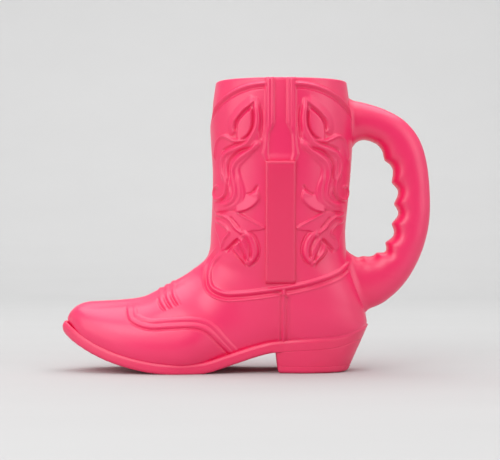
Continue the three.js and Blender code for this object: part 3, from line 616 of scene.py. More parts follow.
# %% Wing-tip band and wrinkles
WING_LOWER, WING_UPPER = [(0.85, -0.7, 1.8), (-0.55, -2.7, 1.0)], [(0.75, 0.0, 1.7), (0.3, -1.8, 1.5)]
WING_GAP, WING_CLOSING, WING_CLOSES, WING_STARTS = 3.0, 0.7, (0.7, 0.95), (0.05, 0.13)
WRINKLES, WRINKLE_PLACE, WRINKLE_PITCH, WRINKLE_STEP = (-1, 0, 1), 0.295, 4.0, 1.5
WRINKLE_LINE = [(-3.4, 10), (-2.2, 4), (0, 0), (3.4, -3.6)]
WRINKLE_RIDGE, WRINKLE_HALF, WRINKLE_DEEPENS, WRINKLE_ENDS = (0.55, 2.0, 1.6), 1.2, (0.2, 0.45), (1, 0.8)


def wing_tip_height(x, z):
    """Two beads with a shallow valley between them and a groove under the lower one."""
    away, share = distance_to(x, z, vamp_line, 6)
    from_upper = away - WING_GAP + WING_CLOSING * smooth(*WING_CLOSES, share)
    return (beads(away, *WING_LOWER) + beads(from_upper, *WING_UPPER)) * smooth(*WING_STARTS, share)


def wrinkle_height(x, z):
    height = np.zeros(x.shape)
    for place in WRINKLES:
        middle_x = mix(crease_x, toe_x, WRINKLE_PLACE) + place * WRINKLE_PITCH
        middle_z = TOE_BOX_HEIGHT + place * WRINKLE_STEP
        line = [(middle_x + ahead, middle_z + up) for ahead, up in WRINKLE_LINE]
        away, share = distance_to(x, z, line, 5)
        fold = beads(away, WRINKLE_RIDGE) - bead(away, WRINKLE_HALF) * smooth(*WRINKLE_DEEPENS, share)
        height = height + fold * smooth(*WRINKLE_ENDS, share)
    return height


print("the instep has", len(WRINKLES), "wrinkles,", WRINKLE_PITCH, "mm apart along the foot")

# %% Soft swells of the foot
def swell(x, z, middle, radius):
    """A round hill of height 1 that fades out at its radius."""
    away = np.hypot(x - middle[0], z - middle[1]) / radius
    return smooth(1, 0, away)


FEATHER_LIFT, SIDE_DRAW, LIFT_HEIGHT = 2.2, 1.7, 27.0
BALL_SWELL, BALL_RADIUS, WAIST_HOLLOW, WAIST_RADIUS = 1.5, 24, 0.8, 20
ball_middle = (along_arch(0.84), TOE_BOX_HEIGHT - 21)
waist_middle = (along_arch(0.5), TOE_BOX_HEIGHT - 30)


def foot_form(x, z, above_sole):
    """The forefoot's sides stand out at the sole and draw in above it, the ball swells, the waist sinks."""
    forefoot = smooth(along_arch(0.55), along_arch(1.0), x) * smooth(toe_x, along_toe(0.8), x)
    lean = mix(-SIDE_DRAW, FEATHER_LIFT, smooth(LIFT_HEIGHT, 0, above_sole))
    ball = BALL_SWELL * swell(x, z, ball_middle, BALL_RADIUS)
    return lean * forefoot + ball - WAIST_HOLLOW * swell(x, z, waist_middle, WAIST_RADIUS)


print("the ball swells most", round(ball_middle[1], 1), "mm above the floor")

# %% All the relief together
SCROLL_FOOT, STRAP_CLEAR, RIB_WINS, SIDES_ONLY = (58, 62), (125, 131), 0.4, (2, 12)
PINCH, PARTING_HEIGHT, PARTING_HALF = (-0.2, 0.2, 1.0), 0.1, 0.5


def relief(point, arc_length, slant):
    x, y, z = np.moveaxis(point, -1, 0)
    x = x - FRAME_X
    height = scroll_height(np.abs(arc_length), z) * smooth(*SCROLL_FOOT, z)
    by_strap = smooth(STRAP_HALF + 2, STRAP_HALF, np.abs(x - STRAP_X))
    height = height * (1 - smooth(*STRAP_CLEAR, z) * by_strap)
    piping, rib = piping_height(x, z), rib_height(x, z)
    crossing = np.where(rib > RIB_WINS, np.maximum(piping, rib), piping + rib)
    height = height + collar_height(x, z, slant) + strap_height(x, z) + crossing
    height = height + wing_tip_height(x, z) + wrinkle_height(x, z)
    above_sole = z - sole_height(point[..., 0])
    height = height + foot_form(x, z, above_sole) * smooth(*SIDES_ONLY, np.abs(y))
    below_collar = smooth(COLLAR_TOP - COLLAR_DROP, COLLAR_TOP - COLLAR_DROP - 4, z)
    parting = PARTING_HEIGHT * bead(y, PARTING_HALF) * below_collar
    return height + beads(above_sole, PINCH) + parting


net = last_point(rows[:, None], turn)
net_normal = last_normal(rows[:, None], turn)
slant = np.gradient(net[..., 0], axis=1) / np.maximum(np.gradient(arc, axis=1), 1e-6)
height = relief(net, arc, slant)
print("relief from", round(float(height.min()), 2), "to", round(float(height.max()), 2), "mm")

# %% [markdown]
# ## Turning points into pieces
# Every piece below is a list of points and faces. One helper makes the mesh, turns its faces outwards, shades
# it smooth, fastens it to the frame's body and hides the plain solid that it stands for. The others list the
# faces of nets and tubes.

# %% Helper that makes a piece
def add_object(name, data):
    thing = bpy.data.objects.new(name, data)
    bpy.context.collection.objects.link(thing)
    return thing


def make_piece(name, points, faces, node, material):
    mesh = bpy.data.meshes.new(name)
    mesh.from_pydata((np.asarray(points, float) * MM).tolist(), [], faces)
    work = bmesh.new()
    work.from_mesh(mesh)
    bmesh.ops.remove_doubles(work, verts=work.verts, dist=1e-6)
    bmesh.ops.recalc_face_normals(work, faces=work.faces)
    if work.calc_volume(signed=True) < 0:
        bmesh.ops.reverse_faces(work, faces=work.faces)
    open_edges = sum(1 for e in work.edges if e.is_boundary)
    for face in work.faces:
        face.smooth = True
    work.to_mesh(mesh)
    work.free()
    piece = add_object(name, mesh)
    mesh.materials.append(material)
    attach(piece, "root")
    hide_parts(node)
    print(name, len(mesh.vertices), "points,", len(mesh.polygons), "faces,", open_edges, "open edges")


print("pieces go into", bpy.context.collection.name)

# %% Helpers for nets and tubes
def mirrored(points):
    return points * np.array([1, -1, 1])


def both_sides(half):
    """A net of one half and its mirror image, joined on the middle plane."""
    return np.concatenate([mirrored(half)[:, :0:-1], half], axis=1)


def quads(row_count, column_count, start=0, ring=False):
    faces = []
    for i in range(row_count - 1):
        for j in range(column_count if ring else column_count - 1):
            a = start + i * column_count + j
            b = start + i * column_count + (j + 1) % column_count
            faces.append((a, b, b + column_count, a + column_count))
    return faces


def tube(ring_count, ring_size):
    """The faces of a tube of rings with both ends closed."""
    last_ring = (ring_count - 1) * ring_size
    ends = [tuple(range(ring_size)), tuple(range(last_ring, last_ring + ring_size))]
    return quads(ring_count, ring_size, ring=True) + ends


def close_with_fan(points, faces, start, count):
    """Joins a row of points to a new point in its middle."""
    points.append(np.mean(points[start : start + count], axis=0))
    faces += [(start + j, start + j + 1, len(points) - 1) for j in range(count - 1)]


def ray_target(net):
    return BVHTree.FromPolygons(net.reshape(-1, 3).tolist(), quads(*net.shape[:2]))


print("a net of 3 by 4 points has", len(quads(3, 4)), "faces, and a tube of 3 rings of 4", len(tube(3, 4)))

# %% [markdown]
# ## Finishes
# The whole mug is one pink plastic with a satin moulded surface: a very fine orange peel from the mould,
# faint swirls in the pigment and slightly duller patches. These three come from one node group that every
# pink material uses with its own values. The group puts out a colour, a roughness and a height; the shader
# itself stays in the material, where its plain settings are.

# %% Helpers for nodes
def nodes_of(block):
    """Lets a material or a world use nodes."""
    block.use_nodes = True
    return block.node_tree


def feed(node, inputs):
    """Gives a node's inputs their values. A value that is another node's output is linked."""
    for name, value in inputs.items():
        if isinstance(value, bpy.types.NodeSocket):
            node.id_data.links.new(value, node.inputs[name])
        else:
            node.inputs[name].default_value = value


def add_node(tree, kind, inputs, **settings):
    """Adds a shader node, feeds it and gives back its outputs."""
    node = tree.nodes.new("ShaderNode" + kind)
    for name, value in settings.items():
        setattr(node, name, value)
    feed(node, inputs)
    return node.outputs


print("helpers for nodes are ready; the materials, the paper and the sky use them")

# %% Node group for a moulded surface
def moulded_surface():
    group = bpy.data.node_groups.new("moulded_surface", "ShaderNodeTree")
    colours = ["Pink", "Deep Pink", "Color"]
    values = ["Swirl Scale", "Peel Scale", "Dull", "Glossy", "Roughness", "Height"]
    results = ["Color", "Roughness", "Height"]
    for name in colours + values:
        kind = "NodeSocketColor" if name in colours else "NodeSocketFloat"
        way = "OUTPUT" if name in results else "INPUT"
        group.interface.new_socket(name=name, in_out=way, socket_type=kind)
    given = group.nodes.new("NodeGroupInput").outputs
    place = add_node(group, "TexCoord", {})["Object"]

    swirl = add_node(group, "TexNoise", {
        "Vector": place, "Scale": given["Swirl Scale"], "Detail": 3, "Distortion": 1.2})
    spread = add_node(group, "MapRange", {"Value": swirl["Fac"], "From Min": 0.3, "From Max": 0.7})
    blend = add_node(group, "Mix", {
        "Factor": spread["Result"], "A": given["Pink"], "B": given["Deep Pink"]}, data_type="RGBA")
    patch = add_node(group, "TexNoise", {"Vector": place, "Scale": 70, "Detail": 4})
    shine = add_node(group, "MapRange", {
        "Value": patch["Fac"], "To Min": given["Glossy"], "To Max": given["Dull"]})
    peel = add_node(group, "TexNoise", {"Vector": place, "Scale": given["Peel Scale"], "Detail": 2})
    feed(group.nodes.new("NodeGroupOutput"), {
        "Color": blend["Result"], "Roughness": shine["Result"], "Height": peel["Fac"]})
    return group


surface_group = moulded_surface()
print("moulded_surface has", len(surface_group.nodes), "nodes")

# %% Pink materials
def pink_plastic(name, pink, deep, swirl_scale, peel_scale, glossy, dull, peel_depth):
    material = bpy.data.materials.new(name)
    tree = nodes_of(material)
    surface = add_node(tree, "Group", {
        "Pink": (*pink, 1), "Deep Pink": (*deep, 1), "Swirl Scale": swirl_scale, "Peel Scale": peel_scale,
        "Glossy": glossy, "Dull": dull}, node_tree=surface_group)
    bump = add_node(tree, "Bump", {"Distance": peel_depth * MM, "Height": surface["Height"]})
    feed(tree.nodes["Principled BSDF"], {
        "IOR": 1.54, "Specular IOR Level": 0.8, "Base Color": surface["Color"],
        "Roughness": surface["Roughness"], "Normal": bump["Normal"]})
    return material


body_plastic = pink_plastic(
    "body_plastic", (0.9, 0.015, 0.13), (0.86, 0.012, 0.114), 14, 900, 0.32, 0.41, 0.02)
sole_plastic = pink_plastic(
    "sole_plastic", (0.85, 0.016, 0.115), (0.81, 0.013, 0.1), 18, 700, 0.36, 0.46, 0.03)
plate_plastic = pink_plastic(
    "plate_plastic", (0.83, 0.014, 0.106), (0.79, 0.012, 0.096), 10, 1100, 0.3, 0.38, 0.015)
print("materials:", body_plastic.name, sole_plastic.name, plate_plastic.name)

# %% [markdown]
# ## The boot upper
# The cup is a shell with a rounded rim. Its outside is the fine net with the relief; its inside is a coarser
# net set in by the wall, because nothing is carved there. A Solidify modifier would carry the relief through
# to the inside, so the two skins are made apart and joined along the rim. They end just under the sole line.

# %% Outside of the upper, from the rim down
WALL = 2.6
RIM_ROUND = 1.1
RIM_STEPS = 7


def wall_inset(z):
    return WALL + COLLAR_STEP * smooth(RIM_HEIGHT - COLLAR_DROP - 18, RIM_HEIGHT - COLLAR_DROP, z)


outside = net + net_normal * height[..., None]
first = int(np.argmax(net[:, 0, 2] < RIM_HEIGHT - RIM_ROUND))
level = net_normal[first] * np.array([1, 1, 0])
level = level / np.linalg.norm(level, axis=1, keepdims=True)
inner_depth = float(wall_inset(np.array(RIM_HEIGHT)))
rim_rows = []
for k in range(RIM_STEPS, 0, -1):
    lean = math.pi * k / RIM_STEPS
    out = (height[first] - inner_depth) / 2 + (height[first] + inner_depth) / 2 * math.cos(lean)
    row = net[first] + level * out[:, None]
    row[:, 2] = RIM_HEIGHT - RIM_ROUND + RIM_ROUND * math.sin(lean)
    rim_rows.append(row)
half_sheet = np.concatenate([np.array(rim_rows), outside[first:]])
sheet = both_sides(half_sheet)
sheet_rows, sheet_columns = sheet.shape[:2]
upper_points = list(sheet.reshape(-1, 3))
upper_faces = quads(sheet_rows, sheet_columns)
close_with_fan(upper_points, upper_faces, (sheet_rows - 1) * sheet_columns, sheet_columns)
print("outside of", sheet_rows, "rings by", sheet_columns, "columns")

# %% Inside of the upper
INNER_EVERY, LAST_INNER_OVAL = 4, 19
INNER_END = LAST_INNER_OVAL * RIM_SHARE
inner_shares = np.concatenate([rows[first : np.searchsorted(rows, INNER_END) : INNER_EVERY], [INNER_END]])
inner_columns = columns[::INNER_EVERY]
inner_turn = shared_turns(inner_shares, inner_columns, wall_inset)[0]
inner = last_point(inner_shares[:, None], inner_turn)
inner = inner - last_normal(inner_shares[:, None], inner_turn) * wall_inset(inner[..., 2])[..., None]
inner_sheet = both_sides(inner)[1:]
inner_rows, inner_count = inner_sheet.shape[:2]
start = len(upper_points)
upper_points += list(inner_sheet.reshape(-1, 3))
upper_faces += quads(inner_rows, inner_count, start)
for j in range(inner_count - 1):
    fine = list(range(j * INNER_EVERY, (j + 1) * INNER_EVERY + 1))
    upper_faces.append((*fine, start + j + 1, start + j))
close_with_fan(upper_points, upper_faces, start + (inner_rows - 1) * inner_count, inner_count)
make_piece("boot_upper_shell", upper_points, upper_faces, "boot_upper", body_plastic)

# %% [markdown]
# ## Outsole and heel
# The outsole follows the sole line and stands out beyond the upper as a welt, wider at the toe than at the
# heel. Its plan is the upper's own edge set outwards, so both always fit. Behind the breast the edge leans in
# towards the floor with the stacked heel. Each is swept from the same row of plan points.

# %% The feather edge, where the upper ends
def feather_edge():
    """Where the upper's form meets the sole line on one side, from the heel to the toe."""
    shares = np.linspace(0.3, 1, 1400)
    ring = last_point(shares[:, None], TURNS[None, :])
    over = over_sole(ring, 0)
    found = []
    for i in range(len(shares)):
        if (over[i] <= 0).any():
            j, part = sole_crossing(over[i])
            found.append(mix(ring[i, j], ring[i, j + 1], part))
    found = np.array(found)
    return found[np.argsort(-found[:, 0])]


feather = feather_edge()
print("the feather edge has", len(feather), "points a side")

# %% Plan of the sole
WELT_TOE, WELT_HEEL = 3.4, 1.0
EDGE_STATIONS, TOE_STATIONS, EASE = 220, 14, 4


def evenly(points, count):
    run = run_up(steps_of(points))
    places = np.linspace(0, run[-1], count)
    return np.stack([np.interp(places, run, points[:, k]) for k in range(points.shape[1])], -1)


heel_point = np.array([[feather[0, 0] + 0.2, 0]])
feather_plan = evenly(np.concatenate([heel_point, feather[:, :2]]), EDGE_STATIONS)
kernel = np.ones(2 * EASE + 1) / (2 * EASE + 1)
padded = np.pad(feather_plan, ((EASE, EASE), (0, 0)), mode="reflect", reflect_type="odd")
eased = np.stack([np.convolve(padded[:, k], kernel, "valid") for k in (0, 1)], -1)
travel = np.gradient(eased, axis=0)
travel = travel / np.linalg.norm(travel, axis=1, keepdims=True)
outward = np.stack([travel[:, 1], -travel[:, 0]], -1)
forward_share = (eased[:, 0] - eased[-1, 0]) / (eased[0, 0] - eased[-1, 0])
welt = mix(WELT_TOE, WELT_HEEL, forward_share)
last_lean = math.atan2(outward[-1, 1], outward[-1, 0])
nose_leans = np.linspace(last_lean, math.pi, TOE_STATIONS + 1)[1:]
nose = np.stack([np.cos(nose_leans), np.sin(nose_leans)], -1)
nose_start = eased[-1] * np.stack([np.ones(TOE_STATIONS), np.linspace(1, 0, TOE_STATIONS)], -1)
eased = np.concatenate([eased, nose_start])
outward = np.concatenate([outward, nose])
toe_room = eased[-1, 0] - cad_low.x / MM - 0.1
welt = np.concatenate([welt, np.full(TOE_STATIONS, welt[-1])])
welt[-TOE_STATIONS:] = np.minimum(welt[-TOE_STATIONS:], toe_room)
plan = eased + outward * welt[:, None]
plan[0, 1] = 0
print("the sole's plan is", round(float(plan[:, 0].max() - plan[:, 0].min()), 1), "mm long and",
      round(2 * float(plan[:, 1].max()), 1), "wide")

# %% The heel's lean
HEEL_FOOT_LENGTH, HEEL_FOOT_WIDTH, HEEL_BREAST_RAKE = 43.0, 46.0, 3.4
breast = HEEL_BREAST_X + FRAME_X
heel_end = float(plan[:, 0].max())
heel_width = 2 * float(plan[plan[:, 0] > breast][:, 1].max())


def leaned(x, y, z):
    """A plan point behind the breast, drawn in for its height."""
    share = z / heel_top
    front = breast + HEEL_BREAST_RAKE * (1 - share)
    length = mix(HEEL_FOOT_LENGTH, heel_end - breast, share)
    narrow = mix(HEEL_FOOT_WIDTH, heel_width, share) / heel_width
    return front + (x - breast) / (heel_end - breast) * length, y * narrow


def sole_slope(x):
    return sole_height(x + 0.5) - sole_height(x - 0.5)


def sole_under(x, depth):
    return sole_height(x) - depth * np.sqrt(1 + sole_slope(x) ** 2)


print("the heel is", round(heel_width, 1), "mm wide at its top and", HEEL_FOOT_WIDTH, "mm at the floor")

# %% Outsole
edge_profile = [
    (3.6, 0.3), (2.8, 0.2), (2.2, 0.0), (1.7, -0.02), (1.3, 0.08), (0.95, 0.25), (0.7, 0.5), (0.45, 1.0),
    (0.22, 1.5), (0.06, 1.95), (0.0, 2.4), (0.0, 3.6), (0.06, 5.0), (0.25, 5.8), (0.7, 6.45), (1.6, 6.8),
]
SOLE_THICKNESS, HEEL_JOINT, ACROSS = 6.8, 19.4, 8
TOE_ROUND, ROUND_DEPTH, TOE_UNDER, UNDER_DEPTH = 2.2, 3.2, 1.4, 4.0
toe_stop, heel_stop = float(feather[-1, 0]) - 0.4, float(feather[0, 0]) - 1.0
nose_weight = smooth(EDGE_STATIONS - TOE_STATIONS, len(plan) - 1, np.arange(len(plan)))
ON_HEEL, LEANS_IN, MOST_INSET = (breast - 2, breast + 2), (breast - 3, breast + 7), 0.85
PAST_TOE, PAST_TOE_DEPTHS = (1.0, 3.0), (2, 5)


def edge_point(k, inset, depth):
    """A point of the sole's edge at station k of the plan, set in from it, at a depth under the sole line."""
    over_heel = float(smooth(*ON_HEEL, plan[k, 0]))
    if depth > UNDER_DEPTH:
        inset = mix(inset, 0.0, over_heel)
    under_share = max((depth - UNDER_DEPTH) / (SOLE_THICKNESS - UNDER_DEPTH), 0)
    rounding = TOE_ROUND * max(1 - depth / ROUND_DEPTH, 0) ** 2 + TOE_UNDER * under_share**2
    inset = inset + nose_weight[k] * rounding
    if nose_weight[k] == 0:
        inset = min(inset, MOST_INSET * max(plan[k, 1], 0))
    x, y = plan[k] - outward[k] * inset
    toe_limit = toe_stop - mix(*PAST_TOE, smooth(*PAST_TOE_DEPTHS, depth))
    z = max(float(sole_under(np.clip(x, toe_limit, heel_stop), depth)), 0.0)
    if depth == SOLE_THICKNESS:
        z = mix(z, min(z, HEEL_JOINT), over_heel)
    weight = float(smooth(*LEANS_IN, x))
    leaned_x, leaned_y = leaned(x, y, z)
    return mix(x, leaned_x, weight), max(mix(y, leaned_y, weight), 0.0), z


sole_rings = []
for k in range(len(plan)):
    ring = [edge_point(k, inset, depth) for inset, depth in edge_profile]
    top, bottom = ring[0], ring[-1]
    middle = [(top[0], top[1] * j / ACROSS, top[2]) for j in range(ACROSS)]
    under = [(bottom[0], bottom[1] * (1 - j / ACROSS), bottom[2]) for j in range(1, ACROSS + 1)]
    half_ring = np.array(middle + ring + under)
    sole_rings.append(np.concatenate([half_ring, mirrored(half_ring)[-2:0:-1]]))
sole_rings = np.array(sole_rings)
ring_size = sole_rings.shape[1]
sole_faces = quads(len(plan), ring_size, ring=True)
sole_faces.append(tuple(range(ring_size)))
make_piece("outsole_welted", sole_rings.reshape(-1, 3), sole_faces, "outsole", sole_plastic)

# %% Heel block and heel cap
LINE_GAP, HEEL_CAP_THICKNESS, BLOCK_FOOT, CAP_FOOT, CORNER = 0.03, 4.2, 0.15, 1.9, 1.4
FOOT_ROUND = [(0.0, 1.0), (0.05, 0.69), (0.13, 0.5), (0.29, 0.29), (0.5, 0.13), (0.69, 0.05), (1.0, 0.0)]
TOP_ROUND = [(0.1, 0.0), (0.04, 0.03), (0.0, 0.1)]
behind = plan[plan[:, 0] > breast + 0.6]
side_y = float(behind[-1, 1])
corner_shares = [(1, 0), (0.4, 0.2), (0.08, 0.7), (0, 1.5)]
breast_corner = [(breast + ahead * CORNER, side_y - aside * CORNER) for ahead, aside in corner_shares]
breast_corner.append((breast, side_y / 2))
heel_side = np.array([*behind[behind[:, 0] > breast + 2 * CORNER], *breast_corner])
heel_plan = np.concatenate([heel_side, (heel_side * np.array([1, -1]))[::-1][:-1]])


def heel_ring(heights, inset):
    x, y = leaned(heel_plan[:, 0], heel_plan[:, 1], heights)
    middle = (x.max() + x.min()) / 2
    return np.stack([x - np.sign(x - middle) * inset, y - np.sign(y) * inset, heights], -1)


def heel_stack(name, low, high, node, foot):
    """Rings from a low to a high height, where high may change along the plan. foot rounds the lower edge."""
    rings = []
    for rise, inset in FOOT_ROUND:
        rings.append(heel_ring(np.full(len(heel_plan), low + rise * foot), inset * foot))
    for share in np.linspace(0.55, 0.9, 5):
        rings.append(heel_ring(mix(low, high, share), 0.0))
    for fall, inset in TOP_ROUND:
        rings.append(heel_ring(high - fall, inset))
    points, faces = np.concatenate(rings), tube(len(rings), len(heel_plan))
    make_piece(name, points, faces, node, sole_plastic)


seat_under = sole_under(np.minimum(heel_plan[:, 0], heel_stop), SOLE_THICKNESS)
seat_under = np.minimum(seat_under, HEEL_JOINT) - LINE_GAP
heel_stack("heel_stack", HEEL_CAP_THICKNESS + LINE_GAP, seat_under, "heel_block", BLOCK_FOOT)
heel_stack("heel_top_piece", 0.0, np.full(len(heel_plan), HEEL_CAP_THICKNESS), "heel_cap", CAP_FOOT)

# %% [markdown]
# ## Handle
# The handle is moulded in two halves that meet on the middle plane. It sweeps from an inner line to an outer
# line and has five hollows for the fingers on its inner side, and faint ones below them. A curve with a bevel
# would give an even tube; here each cross section is set between the two lines, so the handle can swell and
# taper as the real one does. Its ends go into the shaft, where rays cast at the upper find the place, and
# widen there in a small fillet.

# %% Lines of the handle
HANDLE_DROP, HANDLE_REACH, HANDLE_FOOT_HEIGHT = 10.6, 48.6, 37.5
GRIP_WIDTH, ROOT_FLARE, RIPPLE_COUNT, RIPPLE_DEPTH = 21.0, 0.16, 5, 2.9
RIPPLE_START, RIPPLE_SPAN, RIPPLE_STOP, FAINT = 5 / 13, 5 / 13, 1.4, 0.3
root_x = SHAFT_X + BELLY_LENGTH / 2 - 1 + FRAME_X


def handle_line(shares):
    return through([(root_x + reach * HANDLE_REACH, mix(HANDLE_FOOT_HEIGHT, RIM_HEIGHT - HANDLE_DROP, rise))
                    for reach, rise in shares])


grip_inner = handle_line([
    (-0.16, 0.7), (0.012, 0.778), (0.147, 0.809), (0.3, 0.796), (0.39, 0.764), (0.43, 0.713), (0.522, 0.606),
    (0.55, 0.504), (0.522, 0.41), (0.442, 0.32), (0.331, 0.271), (0.157, 0.255), (0.0, 0.266), (-0.2, 0.32),
])
grip_outer = handle_line([
    (-0.2, 1.015), (0.0, 1.0), (0.2, 0.984), (0.444, 0.953), (0.679, 0.901), (0.859, 0.817), (0.959, 0.7),
    (1.0, 0.535), (0.98, 0.392), (0.875, 0.254), (0.688, 0.129), (0.435, 0.038), (0.19, -0.005),
    (-0.1, -0.05),
])


def ripple(share):
    along = (share - RIPPLE_START) / RIPPLE_SPAN
    starts, stops = smooth(-0.001, 0.001, along), smooth(RIPPLE_STOP + 0.001, RIPPLE_STOP - 0.001, along)
    fades = mix(1, FAINT, smooth(0.999, 1.001, along))
    return RIPPLE_DEPTH * np.abs(np.sin(math.pi * RIPPLE_COUNT * along)) ** 1.5 * starts * fades * stops


def grip_point(share, turn, grow=0.0):
    inner, outer = grip_inner(share), grip_outer(share)
    middle, across = (inner + outer) / 2, outer - inner
    reach = np.linalg.norm(across, axis=-1)
    across = across / reach[..., None]
    lengthwise = signed_power(np.cos(turn), 2 / SQUARENESS)
    along = (reach / 2 + grow) * lengthwise + ripple(share) * ((1 - lengthwise) / 2) ** 1.6
    half = GRIP_WIDTH / 2 * (1 + ROOT_FLARE * (2 * share - 1) ** 4) + grow
    aside = half * signed_power(np.sin(turn), 2 / SQUARENESS)
    place = middle + across * along[..., None]
    return np.stack([place[..., 0], aside, place[..., 1]], -1)


print("the grip is", GRIP_WIDTH, "mm wide and has", RIPPLE_COUNT, "finger hollows")

# %% Where the handle goes into the shaft
base_tree = ray_target(both_sides(net[::4, ::4]))
GRIP_COLUMNS, OFF_PLANE, ROOT_STEPS = 48, 0.4, 150
grip_turns = np.linspace(0, math.pi, GRIP_COLUMNS + 1)


def root_share(turn_at, shares):
    """The share along the handle at which a line of it goes into the shaft, walking from the middle out."""
    path = grip_point(shares, turn_at)
    path[:, 1] = np.maximum(path[:, 1], OFF_PLANE)
    for a, b, share_a, share_b in zip(path[:-1], path[1:], shares[:-1], shares[1:]):
        step = Vector(b - a)
        hit = base_tree.ray_cast(Vector(a), step.normalized(), step.length)
        if hit[0] is not None:
            return mix(share_a, share_b, hit[3] / step.length)
    return shares[-1]


top_roots = np.array([root_share(a, np.linspace(0.3, 0.0, ROOT_STEPS)) for a in grip_turns])
low_roots = np.array([root_share(a, np.linspace(0.75, 1.0, ROOT_STEPS)) for a in grip_turns])
for name, roots in (("top", top_roots), ("low", low_roots)):
    print(name, "roots at", roots.min().round(3), "to", roots.max().round(3))

# %% Handle halves
GRIP_ROWS = 300
ROOT_FILLET, FILLET_RUN, WALL_LEFT = 2.6, 6.5, 0.5
SEAM, EDGE_EASE, EDGE_HALF = 0.06, 0.25 / 12, 1.2


def run_at(roots):
    """How many millimetres a line of the handle runs for a whole share, near its root."""
    step = 0.005
    ahead, behind_it = grip_point(roots + step, grip_turns), grip_point(roots - step, grip_turns)
    return np.linalg.norm(ahead - behind_it, axis=1) / (2 * step)


def tuck_at(roots):
    """How deep the handle goes into the wall, so that it does not come out inside the cup."""
    return (wall_inset(grip_point(roots, grip_turns)[:, 2]) - WALL_LEFT) / run_at(roots)


def handle_half(name, node, side):
    start, end = top_roots - tuck_at(top_roots), low_roots + tuck_at(low_roots)
    share = start[None, :] + (end - start)[None, :] * np.linspace(0, 1, GRIP_ROWS)[:, None]
    from_end = np.minimum((share - start) * run_at(top_roots), (end - share) * run_at(low_roots))
    fillet = ROOT_FILLET * np.clip(1 - from_end / FILLET_RUN, 0, 1) ** 2
    points = grip_point(share, np.broadcast_to(grip_turns, share.shape), fillet)
    points[..., 1] = np.maximum(points[..., 1], SEAM)
    at_edges = [(EDGE_EASE, 0, EDGE_HALF), (EDGE_EASE, GRIP_COLUMNS, EDGE_HALF)]
    edge = beads(np.arange(GRIP_COLUMNS + 1), *at_edges)
    centre = points.mean(axis=1, keepdims=True)
    points = points + (centre - points) * np.array([1, 0, 1]) * edge[None, :, None]
    points[..., 1] *= side
    faces = tube(GRIP_ROWS, GRIP_COLUMNS + 1)
    make_piece(name, points.reshape(-1, 3), faces, node, body_plastic)


handle_half("handle_half_left", "handle_left", -1)
handle_half("handle_half_right", "handle_right", 1)

# %% [markdown]
# ## Name plates
# A bare plate lies on each side of the shaft, under the strap. Its face is flat and leans with the shaft, its
# edges are chamfered, the lower one more than the others, and its sides go down into the shaft, where rays
# find the surface.

# %% Plates
PLATE_WIDTH, PLATE_LENGTH, PLATE_DROP, PLATE_PROUD = 17.7, 72.8, 49.6, 1.05
PLATE_CHAMFER, CHAMFER_SLOPE, PLATE_FOOT, FOOT_SLOPE = 1.0, 0.6, 1.9, 0.8
PLATE_LIPS, PLATE_SINK = [(-0.1, 0.15, 0.4), (0.06, 0.8, 0.4)], 0.1
RAY_START, ROOT_DEPTH, LEAST_SIDE = 20, 0.6, 0.2
outer_tree = ray_target(sheet[RIM_STEPS::2, ::2])


def plate_steps(half):
    near_edge = np.array([0, 0.25, 0.6, 1.0, 1.25, 1.45, 1.7, 2.1])
    inner_steps = np.linspace(-half + 2.6, half - 2.6, 14)
    return np.concatenate([-half + near_edge, inner_steps, (half - near_edge)[::-1]])


def name_plate(name, node, side):
    top = RIM_HEIGHT - PLATE_DROP
    bottom = top - PLATE_LENGTH
    heights = np.linspace(bottom, top, 15)
    chord = np.interp(heights, [bottom, top], [shaft_half_width(bottom), shaft_half_width(top)])
    bulge = float(np.max(shaft_half_width(heights) - chord))
    lean = (chord[-1] - chord[0]) / PLATE_LENGTH
    across, along = plate_steps(PLATE_WIDTH / 2), plate_steps(PLATE_LENGTH / 2)
    a, b = np.meshgrid(across, along)
    edge = np.minimum(PLATE_WIDTH / 2 - np.abs(a), PLATE_LENGTH / 2 - np.abs(b))
    drop = np.clip(PLATE_CHAMFER - edge, 0, None) * CHAMFER_SLOPE + beads(edge - PLATE_CHAMFER, *PLATE_LIPS)
    drop = drop + FOOT_SLOPE * np.clip(PLATE_FOOT - b - PLATE_LENGTH / 2, 0, None)
    x = a + STRAP_X + FRAME_X
    z = b + (top + bottom) / 2
    y = (chord[0] + chord[-1]) / 2 + bulge + PLATE_PROUD + b * lean - drop - PLATE_SINK
    face = np.stack([x, y, z], -1)
    count = len(across)
    faces = quads(len(along), count)
    grid = np.arange(len(along) * count).reshape(-1, count)
    rim = np.concatenate([grid[0], grid[1:, -1], grid[-1, -2::-1], grid[-2:0:-1, 0]]).tolist()
    points = list(face.reshape(-1, 3))
    start = len(points)
    for k in rim:
        px, py, pz = points[k]
        hit = outer_tree.ray_cast(Vector((px, py + RAY_START, pz)), Vector((0, -1, 0)))
        points.append(np.array([px, min(hit[0].y - ROOT_DEPTH, py - LEAST_SIDE), pz]))
    for i in range(len(rim)):
        j = (i + 1) % len(rim)
        faces.append((rim[i], rim[j], start + j, start + i))
    faces.append(tuple(range(start, start + len(rim))))
    points = np.array(points) * np.array([1, side, 1])
    make_piece(name, points, faces, node, plate_plastic)


name_plate("bare_plate_left", "name_plate_left", -1)
name_plate("bare_plate_right", "name_plate_right", 1)

# %% [markdown]
# ## Studio
# The mug stands on a pale grey sweep, lit softly from above, from the front left and from both sides. The
# camera stands well back, level with the middle of the boot, so that it shows a plain side view.

